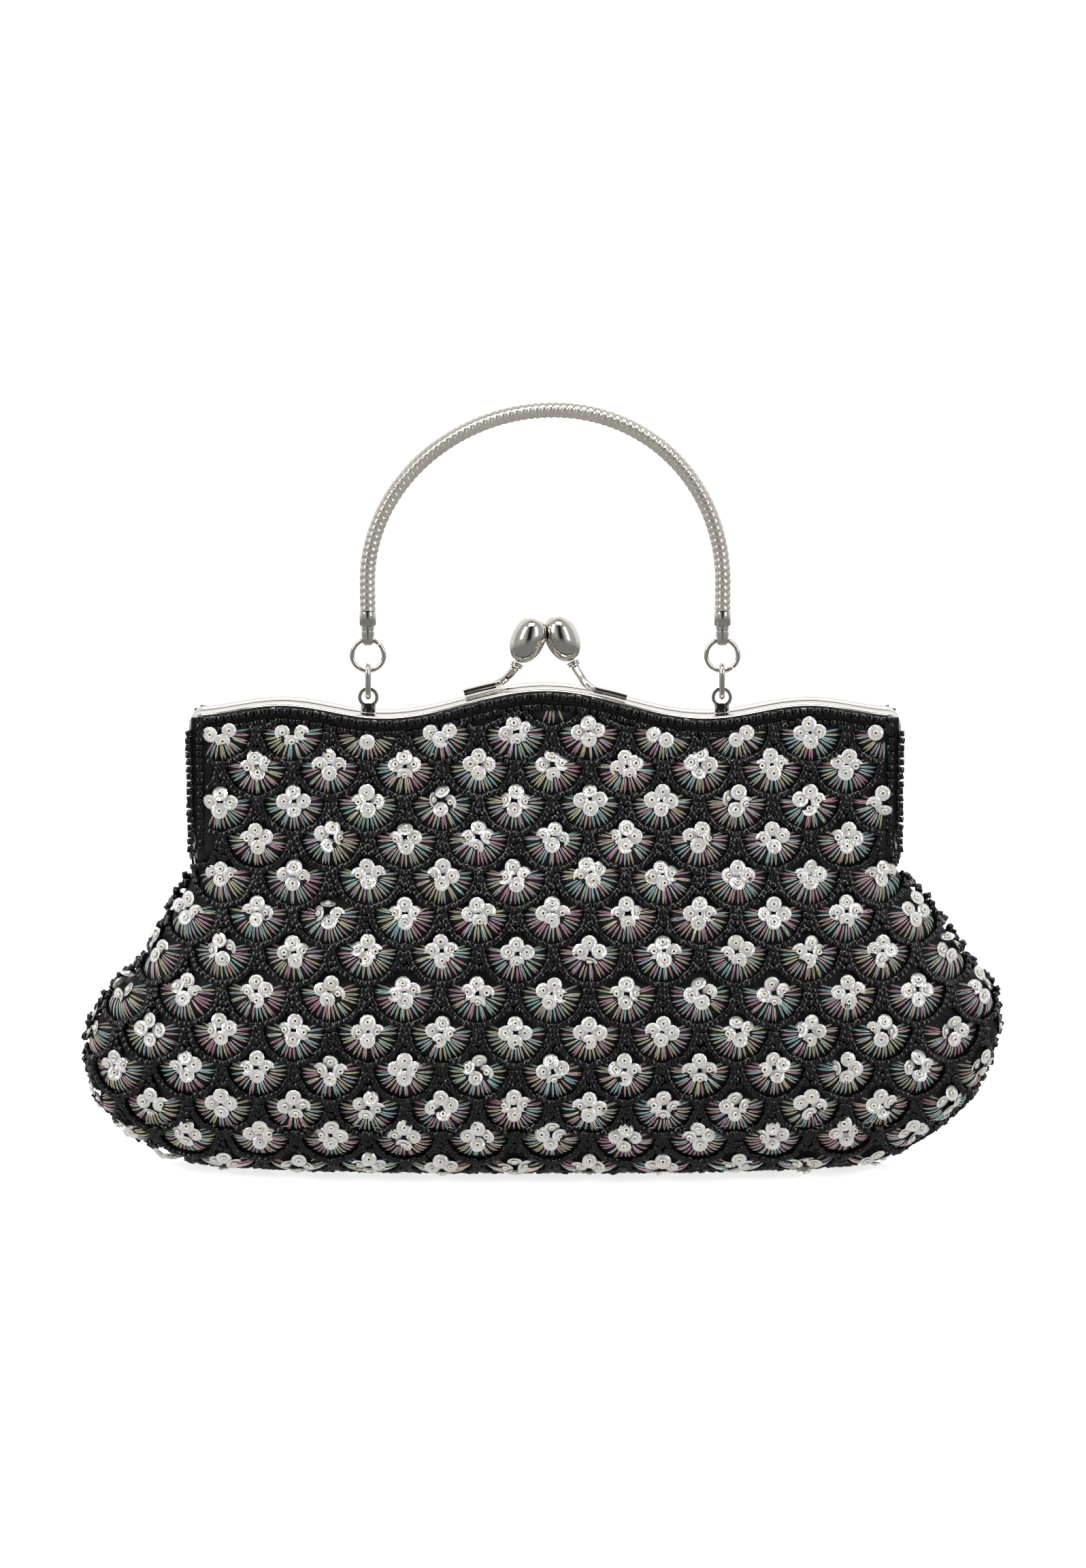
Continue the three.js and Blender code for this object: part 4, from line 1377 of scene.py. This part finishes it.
def scale_beads(name, side):
    """An arc of beads round each scale, with five more down to where the next scales meet."""
    random = side.random
    turn = np.linspace(math.radians(2), math.radians(178), BEADS_PER_SCALE)
    arc = np.stack([SCALE_WIDE * np.cos(turn), 1 - SCALE_DEEP * np.sin(turn)], 1)
    arc, _ = along(arc, BEAD_SPACING)
    slope = np.gradient(arc, axis=0)
    heading = np.arctan2(slope[:, 1], slope[:, 0])
    arc = np.vstack([arc, [(SCALE_PITCH / 2, y) for y in (0.6, -1.2, -3.1)]])
    arc = np.vstack([arc, [(SCALE_PITCH / 2 + x, -5.0) for x in (-0.9, 0.95)]])
    heading = np.concatenate([heading, np.full(3, math.pi / 2), (0.5, -0.5)])
    places = []
    headings = []
    for flower in side.flowers:
        places.append(arc + flower + random.normal(0, 0.1, arc.shape))
        headings.append(heading)
    places = np.concatenate(places)
    headings = np.concatenate(headings)
    gap = side.edge_gap(places[:, 0], places[:, 1])
    height = side.sample(side.flat, places[:, 0], places[:, 1])[:, 2]
    limit = np.where(height > FRAME_FOOT, BEAD_FRAME_GAP, BEAD_SEAM_GAP)
    kept = (gap > limit) & (places[:, 1] > 1.2)
    across, up = places[kept].T
    axes, normal = axes_on(side, across, up, headings[kept])
    lift = BEAD_LIFT + random.normal(0, 0.15, len(across))
    points = side.sample(side.quilted, across, up) + normal * lift[:, None]
    turns = turn_about(axes, random, BEAD_TURN)
    sizes = BEAD * (1 + random.normal(0, 0.05, (len(across), 3)))
    return sewn(name, bead_pattern, points, turns, sizes, jet_glass, True)


bead_pattern = square_bead()
front_beads = scale_beads("front_scale_beads", front_side)
rear_beads = half_turn(scale_beads("rear_scale_beads", rear_side))
settle(front_beads, rear_beads)

# --- Sequin flowers ---
# Four clear cup sequins, 4.6 mm, in a cross on each scale. Each is held down through its hole
# by one silver-lined seed bead.
SEQUIN_RADIUS = 2.28
SEQUIN_HOLE = 0.45
PETAL_OUT = 2.7
FLOWER_LIFT = 1.75
LOOSE_SHARE = 0.16
SEQUIN_FRAME_GAP = 5.1
SEQUIN_SEAM_GAP = 2.0
LOWEST_SEQUIN = 4.2
UNDERSIDE = 16
SEED_LIFT = 0.5


def clear_film():
    material, tree, shader = new_finish("clear_sequin")
    place = tree.nodes.new("ShaderNodeTexCoord").outputs["Object"]
    mottle(tree, place, 520, (0.8, 0.79, 0.76, 1), grey(1.0), shader.inputs["Base Color"])
    mottle(tree, place, 500, grey(0.04), grey(0.15), shader.inputs["Roughness"])
    shader.inputs["Metallic"].default_value = 0.5
    shader.inputs["Alpha"].default_value = 0.86
    crease = add_node(tree, "ShaderNodeTexNoise", Scale=650, Detail=1)
    tree.links.new(place, crease.inputs["Vector"])
    relief(tree, crease.outputs["Fac"], shader, 0.8, 0.0007)
    return material


def silver_lined_glass():
    material, tree, shader = new_finish("silver_lined_glass")
    place = tree.nodes.new("ShaderNodeTexCoord").outputs["Object"]
    warm = (0.62, 0.59, 0.5, 1)
    mottle(tree, place, 800, warm, (0.86, 0.83, 0.75, 1), shader.inputs["Base Color"])
    mottle(tree, place, 900, grey(0.06), grey(0.2), shader.inputs["Roughness"])
    shader.inputs["Metallic"].default_value = 0.45
    shader.inputs["Coat Weight"].default_value = 1
    shader.inputs["Coat Roughness"].default_value = 0.04
    return material


sequin_film = clear_film()
seed_glass = silver_lined_glass()


def cup_sequin():
    """One sequin: a thin dished disc with a hole, made from a circle drawn outwards."""
    start_fresh()
    bpy.ops.mesh.primitive_circle_add(vertices=12, radius=SEQUIN_HOLE, fill_type="NOTHING")
    made = bpy.context.object
    made.name = "sequin_pattern"
    bpy.ops.object.mode_set(mode="EDIT")
    radius = SEQUIN_HOLE
    for wider, rise in ((1.3, 0.05), (SEQUIN_RADIUS, 0.2)):
        bpy.ops.mesh.select_mode(type="EDGE")
        bpy.ops.mesh.extrude_region_move(TRANSFORM_OT_translate={"value": (0, 0, rise)})
        share = wider / radius
        bpy.ops.transform.resize(value=(share, share, 1), center_override=(0, 0, 0))
        radius = wider
    bpy.ops.object.mode_set(mode="OBJECT")
    finish_modifiers(made, ("SOLIDIFY", {"thickness": 0.07, "offset": 0}))
    return made


def seed_bead():
    start_fresh()
    bpy.ops.mesh.primitive_torus_add(
        major_radius=0.62, minor_radius=0.36, major_segments=9, minor_segments=6
    )
    made = bpy.context.object
    made.name = "seed_pattern"
    made.data.transform(Matrix.Diagonal((1, 1, 1.25, 1)))
    return made


sequin_pattern = cup_sequin()
seed_pattern = seed_bead()


def flowers(side_name, side):
    random = side.random
    places = []
    outwards = []
    lifts = []
    tilts = []
    for flower in side.flowers:
        turned_by = random.normal(0, 0.12)
        loose = random.random() < LOOSE_SHARE
        for petal in range(4):
            angle = petal * math.pi / 2 + turned_by
            out = PETAL_OUT * (1 if petal % 2 == 0 else 0.93)
            offset = np.array([math.cos(angle), math.sin(angle)]) * out
            places.append(flower + offset + random.normal(0, 0.13, 2))
            outwards.append(angle)
            lifts.append(FLOWER_LIFT + 0.28 * (petal % 2) + random.normal(0, 0.08))
            tilts.append(random.normal(0.12, 0.4 if loose else 0.2))
    places = np.array(places)
    outwards = np.array(outwards)
    lifts = np.array(lifts)
    tilts = np.array(tilts)
    gap = side.edge_gap(places[:, 0], places[:, 1])
    height = side.sample(side.flat, places[:, 0], places[:, 1])[:, 2]
    limit = np.where(height > FRAME_FOOT, SEQUIN_FRAME_GAP, SEQUIN_SEAM_GAP)
    clear = (height > LOWEST_SEQUIN) | (places[:, 1] > UNDERSIDE)
    kept = (gap > limit) & (places[:, 1] > 3) & clear
    across, up = places[kept].T
    axes, normal = axes_on(side, across, up, outwards[kept])
    flat_normal = side.sample(side.flat_normal, across, up)
    flat_normal /= np.linalg.norm(flat_normal, axis=1)[:, None]
    x = axes[:, :, 0]
    x = x - flat_normal * np.sum(x * flat_normal, 1)[:, None]
    x /= np.linalg.norm(x, axis=1)[:, None]
    y = np.cross(flat_normal, x)
    lean = tilts[kept][:, None]
    leaning = flat_normal * np.cos(lean) + x * np.sin(lean)
    along_petal = x * np.cos(lean) - flat_normal * np.sin(lean)
    axes = np.stack([along_petal, y, leaning], 2)
    turns = turn_about(axes, random, 0.14)
    ground = side.sample(side.flat, across, up)
    sequin_places = ground + flat_normal * lifts[kept][:, None]
    count = len(across)
    sizes = np.repeat(1 + random.normal(0, 0.03, count)[:, None], 3, 1)
    sequins = sewn(
        f"{side_name}_sequins", sequin_pattern, sequin_places, turns, sizes, sequin_film, True
    )
    seed_places = sequin_places + turns[:, :, 2] * SEED_LIFT
    seed_turns = turn_about(turns, random, 0.16)
    seed_sizes = np.repeat(1 + random.normal(0, 0.05, count)[:, None], 3, 1)
    seeds = sewn(
        f"{side_name}_seed_beads", seed_pattern, seed_places, seed_turns, seed_sizes, seed_glass, True
    )
    return sequins, seeds


front_sequins, front_seeds = flowers("front", front_side)
rear_sequins, rear_seeds = flowers("rear", rear_side)
half_turn(rear_sequins)
half_turn(rear_seeds)
settle(front_sequins, rear_sequins)
settle(front_seeds, rear_seeds)

# --- Beads along the frame ---
# Two rows of the same square beads, stitched through the cloth along each channel. Down the
# legs the outer row stands past the metal, so the edge looks toothed.
BORDER_LIFT = 0.95
BORDER_FOOT = 96.8
# Each row's inset along the top, its inset down the legs and its spacing.
BORDER_ROWS = ((1.75, 0.1, 2.12), (4.75, 3.15, 2.0))


def border_row(random, top_inset, leg_inset, pitch):
    """Places and headings of one row, sunk by its own inset along the top and the legs."""
    radius = CORNER_RADIUS
    side = FRAME_HALF_WIDTH
    line = []
    for x, z in frame_outline(0, BORDER_FOOT, 24, 9, 90):
        if abs(x) >= side - 0.01:
            line.append((math.copysign(side - leg_inset, x), z))
        elif abs(x) > side - radius:
            share = (abs(x) - side + radius) / radius
            inset = top_inset + (leg_inset - top_inset) * share
            line.append((x - math.copysign(inset * share, x), z - inset * (1 - share)))
        else:
            line.append((x, float(frame_top(x)) - top_inset))
    points, _ = along(line, pitch)
    slope = np.gradient(points, axis=0)
    heading = np.arctan2(slope[:, 1], slope[:, 0])
    return points + random.normal(0, 0.1, points.shape), heading


def border_beads(name, random):
    places = []
    axes = []
    for top_inset, leg_inset, pitch in BORDER_ROWS:
        points, heading = border_row(random, top_inset, leg_inset, pitch)
        off_corner = (np.abs(points[:, 0]) < 99.5) | (points[:, 1] < 131) | (leg_inset > 1)
        for (x, z), turn in zip(points[off_corner], heading[off_corner]):
            places.append((x, -CHANNEL_FACE - BORDER_LIFT + random.normal(0, 0.07), z))
            run = np.array([math.cos(turn), 0, math.sin(turn)])
            out = np.array([0, -1, 0])
            axes.append(np.stack([run, np.cross(out, run), out], 1))
    places = np.array(places)
    turns = turn_about(np.array(axes), random, BEAD_TURN)
    sizes = BEAD * (1 + random.normal(0, 0.04, (len(places), 3)))
    return sewn(name, bead_pattern, places, turns, sizes, jet_glass, True)


front_border = border_beads("front_frame_beads", np.random.default_rng(5))
rear_border = half_turn(border_beads("rear_frame_beads", np.random.default_rng(6)))
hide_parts("front_bead_border")
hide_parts("rear_bead_border")
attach(front_border, "front_frame_half")
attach(rear_border, "rear_frame_and_pouch")

# --- Beads down the side seams ---
# More of the square jet beads, sewn on where the rows of both sides end. They crowd along each
# side seam, from the base to just below the hinge, and stand out from it at all angles.
SEAM_STEP = 1.75
SEAM_BEADS_TOP = 88


def seam_beads(name, sign, random):
    places = []
    axes = []
    column = 2 if sign < 0 else 3
    for up in np.arange(2, form_up[-1], SEAM_STEP):
        height = float(np.interp(up, form_up, form[:, 0]))
        width = float(np.interp(up, form_up, form[:, column]))
        if height > SEAM_BEADS_TOP:
            break
        for _ in range(random.integers(1, 4)):
            out = width + random.uniform(0.4, 2.6)
            y = random.normal(0, 1.5)
            places.append((sign * out, y, height + random.normal(0, 0.4)))
            axes.append(np.eye(3))
    turns = turn_about(np.array(axes), random, 0.7)
    sizes = BEAD * (1 + random.normal(0, 0.05, (len(places), 3)))
    return sewn(name, bead_pattern, np.array(places), turns, sizes, jet_glass, True)


for name, sign, seed in (("left", -1, 31), ("right", 1, 32)):
    seam = seam_beads(f"seam_edge_beads_{name}", sign, np.random.default_rng(seed))
    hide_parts(f"seam_beads_{name}")
    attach(seam, "rear_frame_and_pouch")

# --- Lining ---
# A loose black satin bag inside, caught into the channels with the cloth, so it hangs in
# shallow upright folds.
LINING_INSIDE = -2.3
LINING_THICKNESS = 0.22
LINING_WIDTH_SHARE = 0.992
FOLD_DEPTH = 0.32


def folds(across, up):
    hang = np.clip((form_up[-1] - up) / 60, 0, 1) * np.clip(up / 40, 0, 1)
    wave = np.sin(across / 4.1 + 0.6 * np.sin(up / 17) + 1.3 * np.sin(across / 23))
    return FOLD_DEPTH * hang * wave


lining_satin = satin("lining_satin", 0.3, (0.006, 0.006, 0.008), (0.014, 0.014, 0.017), 0.36)


def lining_sheet(name, side):
    share = LINING_WIDTH_SHARE
    return cloth_sheet(name, side, 2.6, LINING_INSIDE, share, folds, LINING_THICKNESS, lining_satin)


front_lining = lining_sheet("front_lining_cloth", front_side)
rear_lining = half_turn(lining_sheet("rear_lining_cloth", rear_side))
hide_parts("front_lower_lining", "front_upper_lining")
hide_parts("rear_lining")
settle(front_lining, rear_lining)

for pattern in (bead_pattern, sequin_pattern, seed_pattern):
    bpy.data.objects.remove(pattern)
